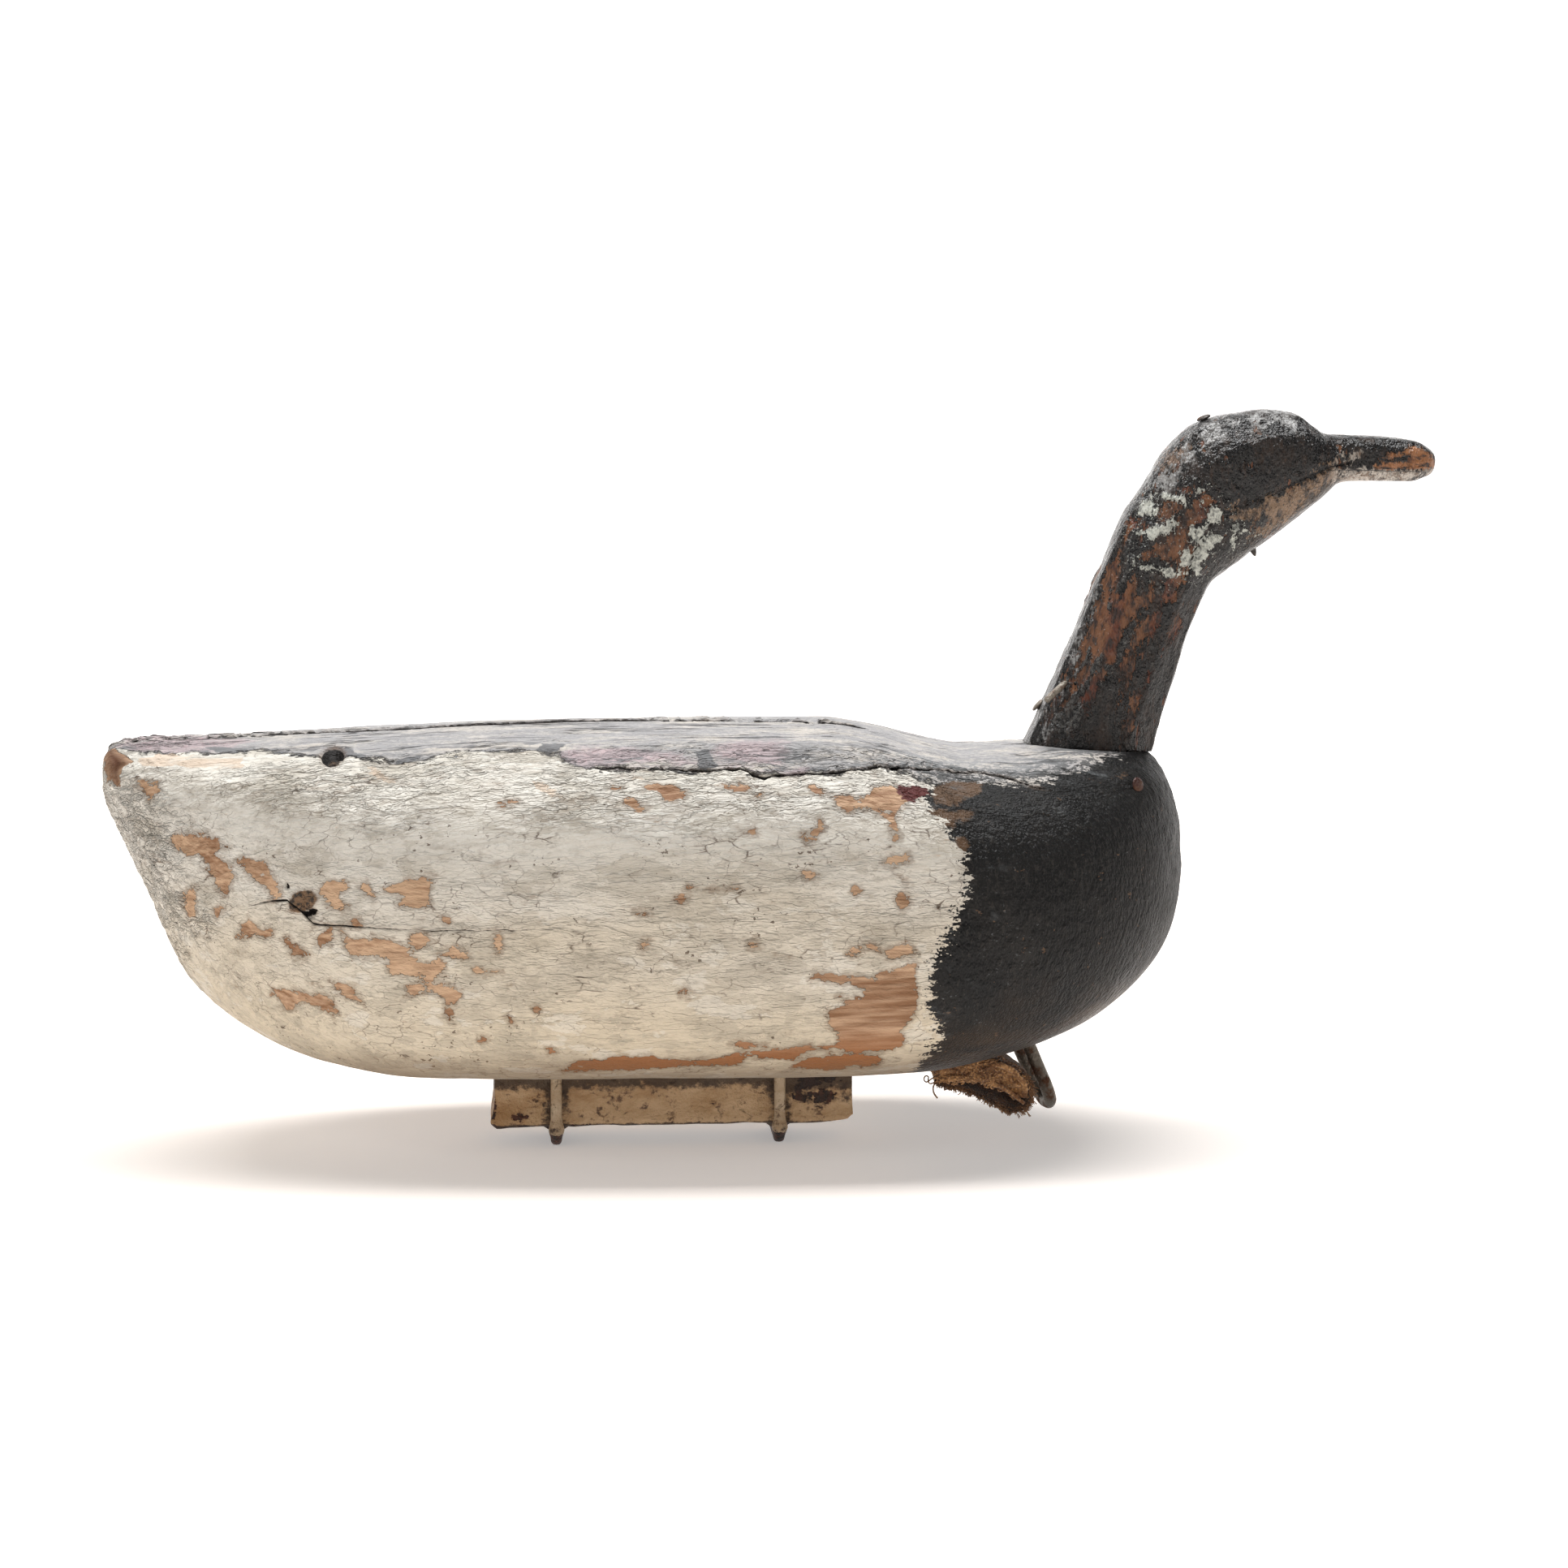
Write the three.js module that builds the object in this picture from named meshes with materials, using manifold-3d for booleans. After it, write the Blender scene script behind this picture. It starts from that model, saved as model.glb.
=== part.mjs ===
// A floating goose decoy: a carved wooden body, a separately carved head and neck seated on the
// body's shelf, an iron ballast bar held under the flat bottom by two staples, an anchor-line
// staple under the breast, a folded scrap of webbing beside it, and the nails that show.
//
// Millimetres. +X points from the tail to the bill, +Z is up, and Z = 0 is the ground under the
// crowns of the two ballast staples. X = 0 is the middle of the overall length.

import * as THREE from "three";
import { mergeVertices } from "three/addons/utils/BufferGeometryUtils.js";
import Module from "manifold-3d";

const wasm = await Module();
wasm.setup();

// Driving dimensions of the body block
const BODY_LENGTH = 553;
const BODY_WIDTH = 244;
const BODY_HEIGHT = 175.5;

// Driving dimensions of the head and neck
const HEAD_HEIGHT = 172;
const HEAD_WIDTH = 50;
const SEAT_SETBACK = 80.6; // from the breast's front to the rear edge of the neck
const SEAT_SLOPE = THREE.MathUtils.degToRad(3.6);
const SEAT_DEPTH = 14.2; // from the highest point of the back down to the neck's rear edge

// Driving dimensions of the ballast bar
const BAR_LENGTH = 185;
const BAR_WIDTH = 36;
const BAR_HEIGHT = 34.4;
const BAR_REAR_SHARE = 0.3557; // share of the body's length that is behind the bar
const BAR_WAIST = 1.6; // how far each side face is hollowed
const BAR_EDGE = 2.6; // rounding along the bar's lower edges

// Driving dimensions of the two ballast staples
const STAPLE_ROD = 5.8; // diameter
const STAPLE_BEND = 7.5; // radius of the bend's middle line
const STAPLE_REAR_INSET = 31.6; // from the bar's rear end
const STAPLE_FRONT_INSET = 38; // from the bar's front end
const STAPLE_GRIP = 18; // length of leg driven into the body
const FOOT_FLAT = 0.35; // wear on the crown where it stands
const SADDLE_DROP = 4; // swelling of the bar that bears on each crown
const SADDLE_TOP_LENGTH = 19;
const SADDLE_FOOT_LENGTH = 6;

// Driving dimensions of the anchor-line staple
const ANCHOR_ROD = 6.8; // diameter
const ANCHOR_SPAN = 26; // between the legs' middle lines
const ANCHOR_DROP = 44; // from the body's underside to the lowest point, along the legs
const ANCHOR_LEAN = THREE.MathUtils.degToRad(23);
const ANCHOR_TWIST = THREE.MathUtils.degToRad(9);
const ANCHOR_SETBACK = 83.1; // from the breast's front to where the legs enter
const ANCHOR_GRIP = 16;

// Driving dimensions of the webbing scrap
const STRAP_WIDTH = 34;
const STRAP_LENGTH = 50; // along the body
const STRAP_REACH = 4.4; // how far its fold passes the anchor staple's entry
const STRAP_DROP = 28; // lowest point under the body's flat bottom
const STRAP_OFFSET = -10; // its middle, towards the near side

// Driving dimensions of the nails
const NAIL_SHANK = 3.4; // diameter
const NAIL_HEAD = 7.6; // diameter
const NAIL_HEAD_THICKNESS = 1.8;
const HEAD_NAIL_PROUD = 3; // how far its point stands out under the throat
const NECK_NAIL_LENGTH = 38;
const SIDE_NAIL_LENGTH = 16;
const BREAST_NAIL_LENGTH = 24;
const BREAST_NAIL_SETBACK = 32; // from the breast's front
const BREAST_NAIL_DROP = 30.4; // below the highest point of the back

const CLEARANCE = 0.3; // between pieces that touch
const BODY_RING = 52; // points round each section of the body
const HEAD_RING = 26;
const ROD_SIDES = 10;

// The body stands on its bar, and the bar on the staples' crowns.
const bottomZ = STAPLE_ROD - FOOT_FLAT + CLEARANCE + SADDLE_DROP + BAR_HEIGHT + CLEARANCE;
const backZ = bottomZ + BODY_HEIGHT;

// The body's lines, as a carver draws them on the block: distance from the tail, height of the
// back, height of the underside and half the beam. The greatest of each is the pattern's size.
const BODY_LINES = [
  [0, 158.6, 137, 28],
  [2.5, 162.6, 131, 34],
  [9, 164.4, 118, 42],
  [23, 165.5, 87.5, 53],
  [43, 166.7, 46, 67],
  [71, 168.4, 22, 83],
  [110, 170.9, 6.5, 99],
  [160, 173.2, 0.4, 111],
  [230, 174.7, 0, 119.5],
  [320, 175.5, 0, 122],
  [365, 175.4, 0, 121.5],
  [391, 171.6, 0.5, 120.5],
  [415, 165.4, 1.2, 118.5],
  [440, 160.6, 3.8, 114.5],
  [470, 161.4, 9.2, 105.5],
  [497, 162.8, 17.6, 93.5],
  [515, 162.8, 27.6, 81.5],
  [530, 159.8, 40, 67],
  [540.5, 152, 52.2, 51],
  [548.3, 136, 68.5, 33],
  [552, 121, 84, 17.5],
  [553, 102, 102, 0],
];

// Half sections from the ridge round to the middle of the bottom, as shares of half the beam and
// of the height, for the tail, the middle and the breast.
const TAIL_SECTION = [
  [0, 1], [0.4, 0.99], [0.8, 0.95], [0.99, 0.8], [1.01, 0.52],
  [0.9, 0.28], [0.66, 0.09], [0.42, 0.01], [0.2, 0], [0, 0],
];
const MIDDLE_SECTION = [
  [0, 1.004], [0.36, 0.98], [0.76, 0.915], [0.98, 0.775], [1.02, 0.48],
  [0.99, 0.2], [0.86, 0.035], [0.62, 0.001], [0.3, 0], [0, 0],
];
const BREAST_SECTION = [
  [0, 1], [0.32, 0.992], [0.66, 0.925], [0.93, 0.76], [1.03, 0.5],
  [0.95, 0.25], [0.72, 0.085], [0.46, 0.025], [0.22, 0.002], [0, 0],
];
const TAIL_FORM_SHARE = 0.3; // shares of the length where the end forms have faded out
const BREAST_FORM_SHARE = 0.7;

// The head and neck as ribs from the seat to the bill's tip: the back point, the throat point,
// half the width and how square the rib is (2 is an ellipse).
const HEAD_RIBS = [
  [0, 0, 66, -4.15, 21, 3.4],
  [7.6, 16.6, 70, 11.5, 20.8, 3.3],
  [19, 42, 78.8, 41, 20.4, 3.1],
  [29.4, 67, 87.7, 66, 20.6, 3],
  [39.4, 92, 95.7, 83, 21.4, 2.8],
  [50, 117, 104, 89.5, 22.6, 2.6],
  [60, 132.5, 115, 97.5, 23.8, 2.5],
  [73, 152.2, 127, 106, 24.7, 2.5],
  [88, 165, 137, 113.5, 25, 2.5],
  [106, 170.2, 145, 119.5, 24.4, 2.5],
  [123, 172, 152, 125, 22.6, 2.5],
  [137.5, 170.6, 158, 129.5, 19.8, 2.4],
  [147.5, 164.4, 162, 132.3, 17, 2.4],
  [156, 159.4, 166, 133.2, 14.8, 2.5],
  [167, 158.6, 171, 133.7, 13.3, 2.7],
  [180, 158.1, 181.5, 133.7, 12.7, 2.8],
  [192, 157.2, 192, 133.6, 12.8, 2.8],
  [201.5, 155.8, 201.5, 134.2, 12, 2.7],
  [208, 152.6, 208, 136.6, 9.8, 2.6],
  [211.8, 149, 211.8, 140.4, 6, 2.4],
  [213.1, 144.8, 213.1, 144.8, 0, 2.4],
];

/** The greatest number in a column of a table. */
function greatest(table, column) {
  return Math.max(...table.map((row) => row[column]));
}

/** Slope through the middle of three neighbours that never swings past them. */
function calmSlope(before, here, after) {
  const [rise, next] = [here - before, after - here];
  return rise * next <= 0 ? 0 : (2 * rise * next) / (rise + next);
}

/** The row at a fractional index of a table of numbers, without overshoot between the rows. */
function rowAt(table, index) {
  const last = table.length - 1;
  const i = Math.min(Math.floor(index), last - 1);
  const t = index - i;
  return table[i].map((_, column) => {
    const value = (row) => {
      if (row < 0) return 2 * table[0][column] - table[1][column];
      if (row > last) return 2 * table[last][column] - table[last - 1][column];
      return table[row][column];
    };
    const [from, to] = [value(i), value(i + 1)];
    const slopeFrom = calmSlope(value(i - 1), from, to);
    const slopeTo = calmSlope(from, to, value(i + 2));
    const step = t * t * (3 - 2 * t);
    return (
      from + (to - from) * step + slopeFrom * t * (1 - t) ** 2 - slopeTo * t * t * (1 - t)
    );
  });
}

/** Uniform cubic B-spline point of a closed control polygon of [y, z] pairs. */
function splinePoint(polygon, index) {
  const n = polygon.length;
  const i = Math.floor(index);
  const t = index - i;
  const weights = [
    (1 - t) ** 3 / 6,
    (3 * t ** 3 - 6 * t ** 2 + 4) / 6,
    (-3 * t ** 3 + 3 * t ** 2 + 3 * t + 1) / 6,
    t ** 3 / 6,
  ];
  const point = [0, 0];
  weights.forEach((weight, k) => {
    const corner = polygon[(i - 1 + k + n) % n];
    point[0] += weight * corner[0];
    point[1] += weight * corner[1];
  });
  return point;
}

/** Closed skin over rings of points that all run the same way round; a ring of one is a pole. */
function skin(rings) {
  const positions = [];
  const starts = rings.map((ring) => {
    const start = positions.length / 3;
    ring.forEach((p) => positions.push(p.x, p.y, p.z));
    return start;
  });
  const faces = [];
  const count = Math.max(...rings.map((ring) => ring.length));
  const corner = (ring, k) => starts[ring] + (rings[ring].length === 1 ? 0 : k % count);
  for (let ring = 0; ring + 1 < rings.length; ring++) {
    for (let k = 0; k < count; k++) {
      const [a, b] = [corner(ring, k), corner(ring, k + 1)];
      const [c, d] = [corner(ring + 1, k), corner(ring + 1, k + 1)];
      if (a !== b) faces.push(a, b, c);
      if (c !== d) faces.push(b, d, c);
    }
  }
  const capEnd = (ring, facesBack) => {
    if (rings[ring].length === 1) return;
    for (let k = 1; k + 1 < count; k++) {
      const [a, b, c] = [corner(ring, 0), corner(ring, k), corner(ring, k + 1)];
      faces.push(...(facesBack ? [a, c, b] : [a, b, c]));
    }
  };
  capEnd(0, true);
  capEnd(rings.length - 1, false);
  return facingOut(
    new THREE.BufferGeometry()
      .setAttribute("position", new THREE.Float32BufferAttribute(positions, 3))
      .setIndex(faces),
  );
}

/** Volume enclosed by an indexed geometry, negative where its faces point inwards. */
function signedVolume(geometry) {
  const [a, b, c] = [new THREE.Vector3(), new THREE.Vector3(), new THREE.Vector3()];
  const { position } = geometry.attributes;
  const { index } = geometry;
  let volume = 0;
  for (let i = 0; i < index.count; i += 3) {
    a.fromBufferAttribute(position, index.getX(i));
    b.fromBufferAttribute(position, index.getX(i + 1));
    c.fromBufferAttribute(position, index.getX(i + 2));
    volume += a.dot(b.cross(c)) / 6;
  }
  return volume;
}

/** The same geometry with its triangles turned round if they point inwards. */
function facingOut(geometry) {
  if (signedVolume(geometry) < 0) geometry.index.array.reverse();
  return geometry;
}

/** A geometry as a solid for joining and cutting. */
function toSolid(geometry) {
  const bare = new THREE.BufferGeometry()
    .setAttribute("position", geometry.getAttribute("position").clone())
    .setIndex(geometry.index ? geometry.index.clone() : null);
  const merged = facingOut(mergeVertices(bare, 1e-4));
  return new wasm.Manifold(
    new wasm.Mesh({
      numProp: 3,
      vertProperties: new Float32Array(merged.attributes.position.array),
      triVerts: new Uint32Array(merged.index.array),
    }),
  );
}

/** A solid back as a geometry with flat faces. */
function toGeometry(solid) {
  const mesh = solid.getMesh();
  const geometry = new THREE.BufferGeometry()
    .setAttribute("position", new THREE.Float32BufferAttribute(mesh.vertProperties, 3))
    .setIndex(new THREE.BufferAttribute(mesh.triVerts, 1));
  geometry.computeVertexNormals();
  return geometry;
}

/** A round rod through points, its first and last ends cut square. */
function rod(points, radius, sides = ROD_SIDES) {
  const rings = points.map((point, i) => {
    const before = points[Math.max(i - 1, 0)];
    const after = points[Math.min(i + 1, points.length - 1)];
    const along = after.clone().sub(before).normalize();
    const inward = points[Math.max(i, 1)].clone().sub(points[Math.max(i, 1) - 1]).normalize();
    const miter = 1 / Math.max(along.dot(inward), 0.5);
    const across = rodAcross(points);
    const side = across.clone().cross(along).normalize();
    const turns = [...Array(sides).keys()].map((k) => ((k + 0.5) / sides) * 2 * Math.PI);
    return turns.map((a) =>
      point
        .clone()
        .addScaledVector(across, radius * Math.cos(a))
        .addScaledVector(side, radius * Math.sin(a) * miter),
    );
  });
  return skin(rings);
}

/** The direction square to the plane that a rod's points lie in. */
function rodAcross(points) {
  const first = points[1].clone().sub(points[0]).normalize();
  const last = points.at(-1).clone().sub(points.at(-2)).normalize();
  const across = first.clone().cross(last);
  if (across.length() > 0.05) return across.normalize();
  const middle = points[Math.floor(points.length / 2)].clone().sub(points[0]);
  const bent = first.clone().cross(middle);
  if (bent.length() > 0.05 * middle.length()) return bent.normalize();
  const helper = Math.abs(first.y) < 0.9 ? new THREE.Vector3(0, 1, 0) : new THREE.Vector3(1, 0, 0);
  return helper.cross(first).normalize();
}

/** A material with the finish that a piece shows. */
function finish(color, roughness, metalness = 0) {
  return new THREE.MeshStandardMaterial({ color, roughness, metalness, flatShading: true });
}

const whitePaint = finish(0xd6cfbd, 0.62);
const blackPaint = finish(0x2a2624, 0.5);
const rustyBar = finish(0xa88e6c, 0.7, 0.1);
const paintedStaple = finish(0xb09a7b, 0.6, 0.2);
const darkIron = finish(0x3f3831, 0.48, 0.7);
const webbing = finish(0x80582c, 0.95);

/** A named piece of the decoy. */
function piece(name, geometry, material) {
  const mesh = new THREE.Mesh(geometry, material);
  mesh.name = name;
  return mesh;
}

// Body block
const patternLength = greatest(BODY_LINES, 0);
const lengthScale = BODY_LENGTH / patternLength;
const heightScale = BODY_HEIGHT / greatest(BODY_LINES, 1);
const beamScale = BODY_WIDTH / 2 / greatest(BODY_LINES, 3);

/** The half section at a share of the length: the middle form, eased into the end forms. */
function sectionAt(share) {
  const tail = THREE.MathUtils.smoothstep(TAIL_FORM_SHARE - share, 0, TAIL_FORM_SHARE);
  const breast = THREE.MathUtils.smoothstep(share, BREAST_FORM_SHARE, 1);
  return MIDDLE_SECTION.map((middle, i) =>
    middle.map(
      (value, k) =>
        value + tail * (TAIL_SECTION[i][k] - value) + breast * (BREAST_SECTION[i][k] - value),
    ),
  );
}

/** One ring of the body's skin at a fractional index of its lines. */
function bodyRing(index) {
  const [x, top, bottom, half] = rowAt(BODY_LINES, index);
  const section = sectionAt(x / patternLength);
  const mirrored = section.slice(1, -1).reverse().map(([y, z]) => [-y, z]);
  const polygon = [...section, ...mirrored];
  return [...Array(BODY_RING).keys()].map((k) => {
    const [y, z] = splinePoint(polygon, (k / BODY_RING) * polygon.length);
    const height = bottom + z * (top - bottom);
    return new THREE.Vector3(
      x * lengthScale,
      y * half * beamScale,
      bottomZ + height * heightScale,
    );
  });
}

/** The height of the body's underside, on its middle line, at a distance from the tail. */
function undersideAt(x) {
  const rows = [...Array(BODY_LINES.length * 8 - 8).keys()].map((k) => rowAt(BODY_LINES, k / 8));
  const after = rows.findIndex((row) => row[0] * lengthScale >= x);
  const [low, high] = [rows[after - 1], rows[after]];
  const share = (x / lengthScale - low[0]) / (high[0] - low[0]);
  return bottomZ + (low[2] + share * (high[2] - low[2])) * heightScale;
}

const seatRear = new THREE.Vector3(BODY_LENGTH - SEAT_SETBACK, 0, backZ - SEAT_DEPTH);

/** The space over the shelf: everything above the sloping seat plane, from its rear forwards. */
function overShelf() {
  const [long, wide, tall] = [SEAT_SETBACK * 3, BODY_WIDTH * 2, BODY_HEIGHT];
  const behind = SEAT_SETBACK * 0.3;
  const block = new THREE.BoxGeometry(long, wide, tall);
  block.translate(long / 2 - behind, 0, tall / 2);
  block.rotateY(SEAT_SLOPE);
  block.translate(seatRear.x, 0, seatRear.z);
  return toSolid(block);
}

/** The carved body before its holes are bored. */
function bodyBlock() {
  const rings = [];
  for (let i = 0; i + 1 < BODY_LINES.length; i++) {
    rings.push(bodyRing(i), bodyRing(i + 0.5));
  }
  const [x, top] = BODY_LINES.at(-1);
  rings.push([new THREE.Vector3(x * lengthScale, 0, bottomZ + top * heightScale)]);
  return toSolid(skin(rings)).subtract(overShelf());
}

// Ballast bar and its staples
const barRear = BODY_LENGTH * BAR_REAR_SHARE;
const barTop = bottomZ - CLEARANCE;
const barBottom = barTop - BAR_HEIGHT;
const stapleStations = {
  ballast_staple_rear: barRear + STAPLE_REAR_INSET,
  ballast_staple_front: barRear + BAR_LENGTH - STAPLE_FRONT_INSET,
};

/** The bar: an upright section with hollowed sides, run along X, with a saddle at each staple. */
function ballastBar() {
  const half = BAR_WIDTH / 2;
  const side = [
    [half - BAR_EDGE, 0],
    [half - BAR_EDGE * 0.3, BAR_EDGE * 0.3],
    [half, BAR_EDGE],
    [half - BAR_WAIST * 0.7, BAR_HEIGHT * 0.25],
    [half - BAR_WAIST, BAR_HEIGHT * 0.5],
    [half - BAR_WAIST * 0.8, BAR_HEIGHT * 0.8],
    [half - BAR_WAIST * 0.4, BAR_HEIGHT],
  ];
  const outline = [...side, ...side.map(([y, z]) => [-y, z]).reverse()];
  const ring = (x) => outline.map(([y, z]) => new THREE.Vector3(x, y, barBottom + z));
  const bar = toSolid(skin([ring(barRear), ring(barRear + BAR_LENGTH)]));
  const saddleHalf = half - BAR_EDGE - STAPLE_BEND * 0.5;
  return Object.values(stapleStations).reduce((joined, x) => {
    const shape = new THREE.Shape([
      new THREE.Vector2(x - SADDLE_TOP_LENGTH / 2, barBottom + 1),
      new THREE.Vector2(x - SADDLE_FOOT_LENGTH, barBottom - SADDLE_DROP * 0.4),
      new THREE.Vector2(x - SADDLE_FOOT_LENGTH / 2, barBottom - SADDLE_DROP),
      new THREE.Vector2(x + SADDLE_FOOT_LENGTH / 2, barBottom - SADDLE_DROP),
      new THREE.Vector2(x + SADDLE_FOOT_LENGTH, barBottom - SADDLE_DROP * 0.4),
      new THREE.Vector2(x + SADDLE_TOP_LENGTH / 2, barBottom + 1),
    ]);
    const saddle = new THREE.ExtrudeGeometry(shape, { depth: 2 * saddleHalf, bevelEnabled: false });
    saddle.rotateX(Math.PI / 2).translate(0, saddleHalf, 0);
    return joined.add(toSolid(saddle));
  }, bar);
}

/** Middle line of a U-shaped staple in the YZ plane, open upwards, its lowest point at Z = low. */
function staplePath(x, halfSpan, low, top, bend) {
  const steps = 5;
  const corner = (sign) =>
    [...Array(steps + 1).keys()].map((k) => {
      const a = (k / steps) * (Math.PI / 2);
      return new THREE.Vector3(
        x,
        sign * (halfSpan - bend + bend * Math.cos(a)),
        low + bend - bend * Math.sin(a),
      );
    });
  return [
    new THREE.Vector3(x, halfSpan, top),
    ...corner(1),
    ...corner(-1).reverse(),
    new THREE.Vector3(x, -halfSpan, top),
  ];
}

const stapleHalfSpan = BAR_WIDTH / 2 + CLEARANCE + STAPLE_ROD / 2;

/** A ballast staple, or the hole that it fills where extra is over 0. */
function ballastStaple(x, extra = 0) {
  const radius = STAPLE_ROD / 2 + extra;
  const low = STAPLE_ROD / 2 - FOOT_FLAT;
  const top = bottomZ + STAPLE_GRIP + extra;
  const whole = toSolid(rod(staplePath(x, stapleHalfSpan, low, top, STAPLE_BEND), radius));
  if (extra > 0) return whole;
  const ground = new THREE.BoxGeometry(4 * STAPLE_ROD, 4 * stapleHalfSpan, STAPLE_ROD);
  ground.translate(x, 0, -STAPLE_ROD / 2);
  return whole.subtract(toSolid(ground));
}

// Anchor-line staple
/** The anchor-line staple, leaning forwards under the breast, or its hole where extra is over 0. */
function anchorStaple(extra = 0) {
  const x = BODY_LENGTH - ANCHOR_SETBACK;
  const halfSpan = ANCHOR_SPAN / 2;
  const low = -ANCHOR_DROP + ANCHOR_ROD / 2;
  const path = staplePath(0, halfSpan, low, ANCHOR_GRIP + extra, halfSpan * 0.92);
  const staple = rod(path, ANCHOR_ROD / 2 + extra);
  staple.rotateZ(ANCHOR_TWIST).rotateY(-ANCHOR_LEAN).translate(x, 0, undersideAt(x));
  return toSolid(staple);
}

// Webbing scrap
// Where the folded webbing lies against the body, as shares of its length
const STRAP_TACKED = [0.03, 0.3, 0.57];
// Its wad on the near and far sides, from there round the fold and back: shares of length and drop
const STRAP_NEAR_EDGE = [
  [0.71, 0.04], [0.85, 0.17], [0.95, 0.35], [0.985, 0.57], [0.975, 0.81], [0.91, 0.96], [0.81, 1],
  [0.71, 0.96], [0.6, 0.845], [0.48, 0.745], [0.36, 0.64], [0.225, 0.57], [0.1, 0.51], [0, 0.445],
];
const STRAP_FAR_EDGE = [
  [0.73, -0.02], [0.87, 0.11], [0.96, 0.27], [0.99, 0.445], [0.97, 0.59], [0.9, 0.66], [0.82, 0.61],
  [0.715, 0.515], [0.61, 0.43], [0.495, 0.365], [0.38, 0.315], [0.23, 0.315], [0.11, 0.32],
  [0.01, 0.32],
];

/** The folded scrap of webbing, a wad tacked under the body that hangs lower on the near side. */
function frayedStrap() {
  const start = BODY_LENGTH - ANCHOR_SETBACK + STRAP_REACH - STRAP_LENGTH;
  const loop = (edge) => {
    const corners = STRAP_TACKED.map((share) => {
      const x = start + share * STRAP_LENGTH;
      return new THREE.Vector3(x, 0, undersideAt(x) - 2 * CLEARANCE);
    });
    edge.forEach(([share, drop]) => {
      corners.push(
        new THREE.Vector3(start + share * STRAP_LENGTH, 0, bottomZ - drop * STRAP_DROP),
      );
    });
    const curve = new THREE.CatmullRomCurve3(corners, true).getPoints(3 * corners.length);
    curve.forEach((p) => p.setZ(Math.min(p.z, undersideAt(p.x) - 2 * CLEARANCE)));
    return curve.slice(0, -1);
  };
  const [near, far] = [loop(STRAP_NEAR_EDGE), loop(STRAP_FAR_EDGE)];
  const steps = 6;
  const rings = Array.from({ length: steps + 1 }, (_, i) => {
    const y = STRAP_OFFSET + (i / steps - 0.5) * STRAP_WIDTH;
    return near.map((p, k) => p.clone().lerp(far[k], i / steps).setY(y));
  });
  const heart = (ring) => {
    const sum = ring.reduce((total, p) => total.add(p), new THREE.Vector3());
    return [sum.divideScalar(ring.length)];
  };
  rings.unshift(heart(rings[0]));
  rings.push(heart(rings[steps + 1]));
  return toSolid(skin(rings)).subtract(anchorStaple(CLEARANCE));
}

// Head and neck
const headScale = HEAD_HEIGHT / greatest(HEAD_RIBS, 1);
const headWidthScale = HEAD_WIDTH / 2 / greatest(HEAD_RIBS, 4);
const seatNormal = new THREE.Vector3(Math.sin(SEAT_SLOPE), 0, Math.cos(SEAT_SLOPE));
const headOrigin = seatRear.clone().addScaledVector(seatNormal, CLEARANCE);

/** A point of the head's pattern in the decoy's frame. */
function onHead(x, z, y = 0) {
  return new THREE.Vector3(x, y, z).multiplyScalar(headScale).add(headOrigin);
}

/** One ring of the head's skin: a superellipse across the rib at a fractional index. */
function headRing(index) {
  const [backX, backHeight, throatX, throatHeight, half, squareness] = rowAt(HEAD_RIBS, index);
  const back = onHead(backX, backHeight);
  const throat = onHead(throatX, throatHeight);
  return [...Array(HEAD_RING).keys()].map((k) => {
    const a = (k / HEAD_RING) * 2 * Math.PI;
    const round = (value) => Math.sign(value) * Math.abs(value) ** (2 / squareness);
    const p = back.clone().lerp(throat, 0.5 - 0.5 * round(Math.cos(a)));
    p.y = round(Math.sin(a)) * half * headWidthScale;
    return p;
  });
}

/** The carved head and neck before its nail holes are bored. */
function headAndNeck() {
  const rings = [];
  for (let i = 0; i + 1 < HEAD_RIBS.length; i++) {
    rings.push(headRing(i), headRing(i + 0.5));
  }
  const [x, z] = HEAD_RIBS.at(-1);
  rings.push([onHead(x, z)]);
  return toSolid(skin(rings));
}

// Nails
/** A nail along +Z, its head's underside at Z = 0, or the bore that it fills if extra is over 0. */
function nail(length, headed, extra = 0) {
  const shank = NAIL_SHANK / 2 + extra;
  const head = headed ? NAIL_HEAD / 2 + extra : shank;
  const top = NAIL_HEAD_THICKNESS + extra;
  const profile = [
    [0, -length - extra],
    [shank * 0.4, -length - extra],
    [shank, -length + NAIL_SHANK],
    [shank, -extra],
    ...(headed ? [[head, -extra]] : []),
    [head, top * 0.6],
    [head * 0.7, top],
    [0, top],
  ].map(([r, z]) => new THREE.Vector2(r, z));
  return new THREE.LatheGeometry(profile, ROD_SIDES).rotateX(Math.PI / 2);
}

/** A nail moved so that its head bears at one point and its shank runs in a direction. */
function drivenNail({ at, towards, length, headed }, extra = 0) {
  const turn = new THREE.Quaternion().setFromUnitVectors(
    new THREE.Vector3(0, 0, -1),
    towards.clone().normalize(),
  );
  const placed = nail(length, headed, extra).applyQuaternion(turn);
  return toSolid(placed.translate(at.x, at.y, at.z));
}

/** The point of the body's near side at a distance from the tail's end and a height. */
function onNearSide(x, z) {
  const steps = (BODY_LINES.length - 1) * 12;
  const index = [...Array(steps).keys()].find(
    (k) => rowAt(BODY_LINES, k / 12)[0] * lengthScale >= x,
  );
  const near = bodyRing(index / 12).filter((p) => p.y < -1);
  const from = near.findIndex((p, k) => k > 0 && (p.z - z) * (near[k - 1].z - z) <= 0);
  const [low, high] = [near[from - 1], near[from]];
  return low.clone().lerp(high, (z - low.z) / (high.z - low.z));
}

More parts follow.
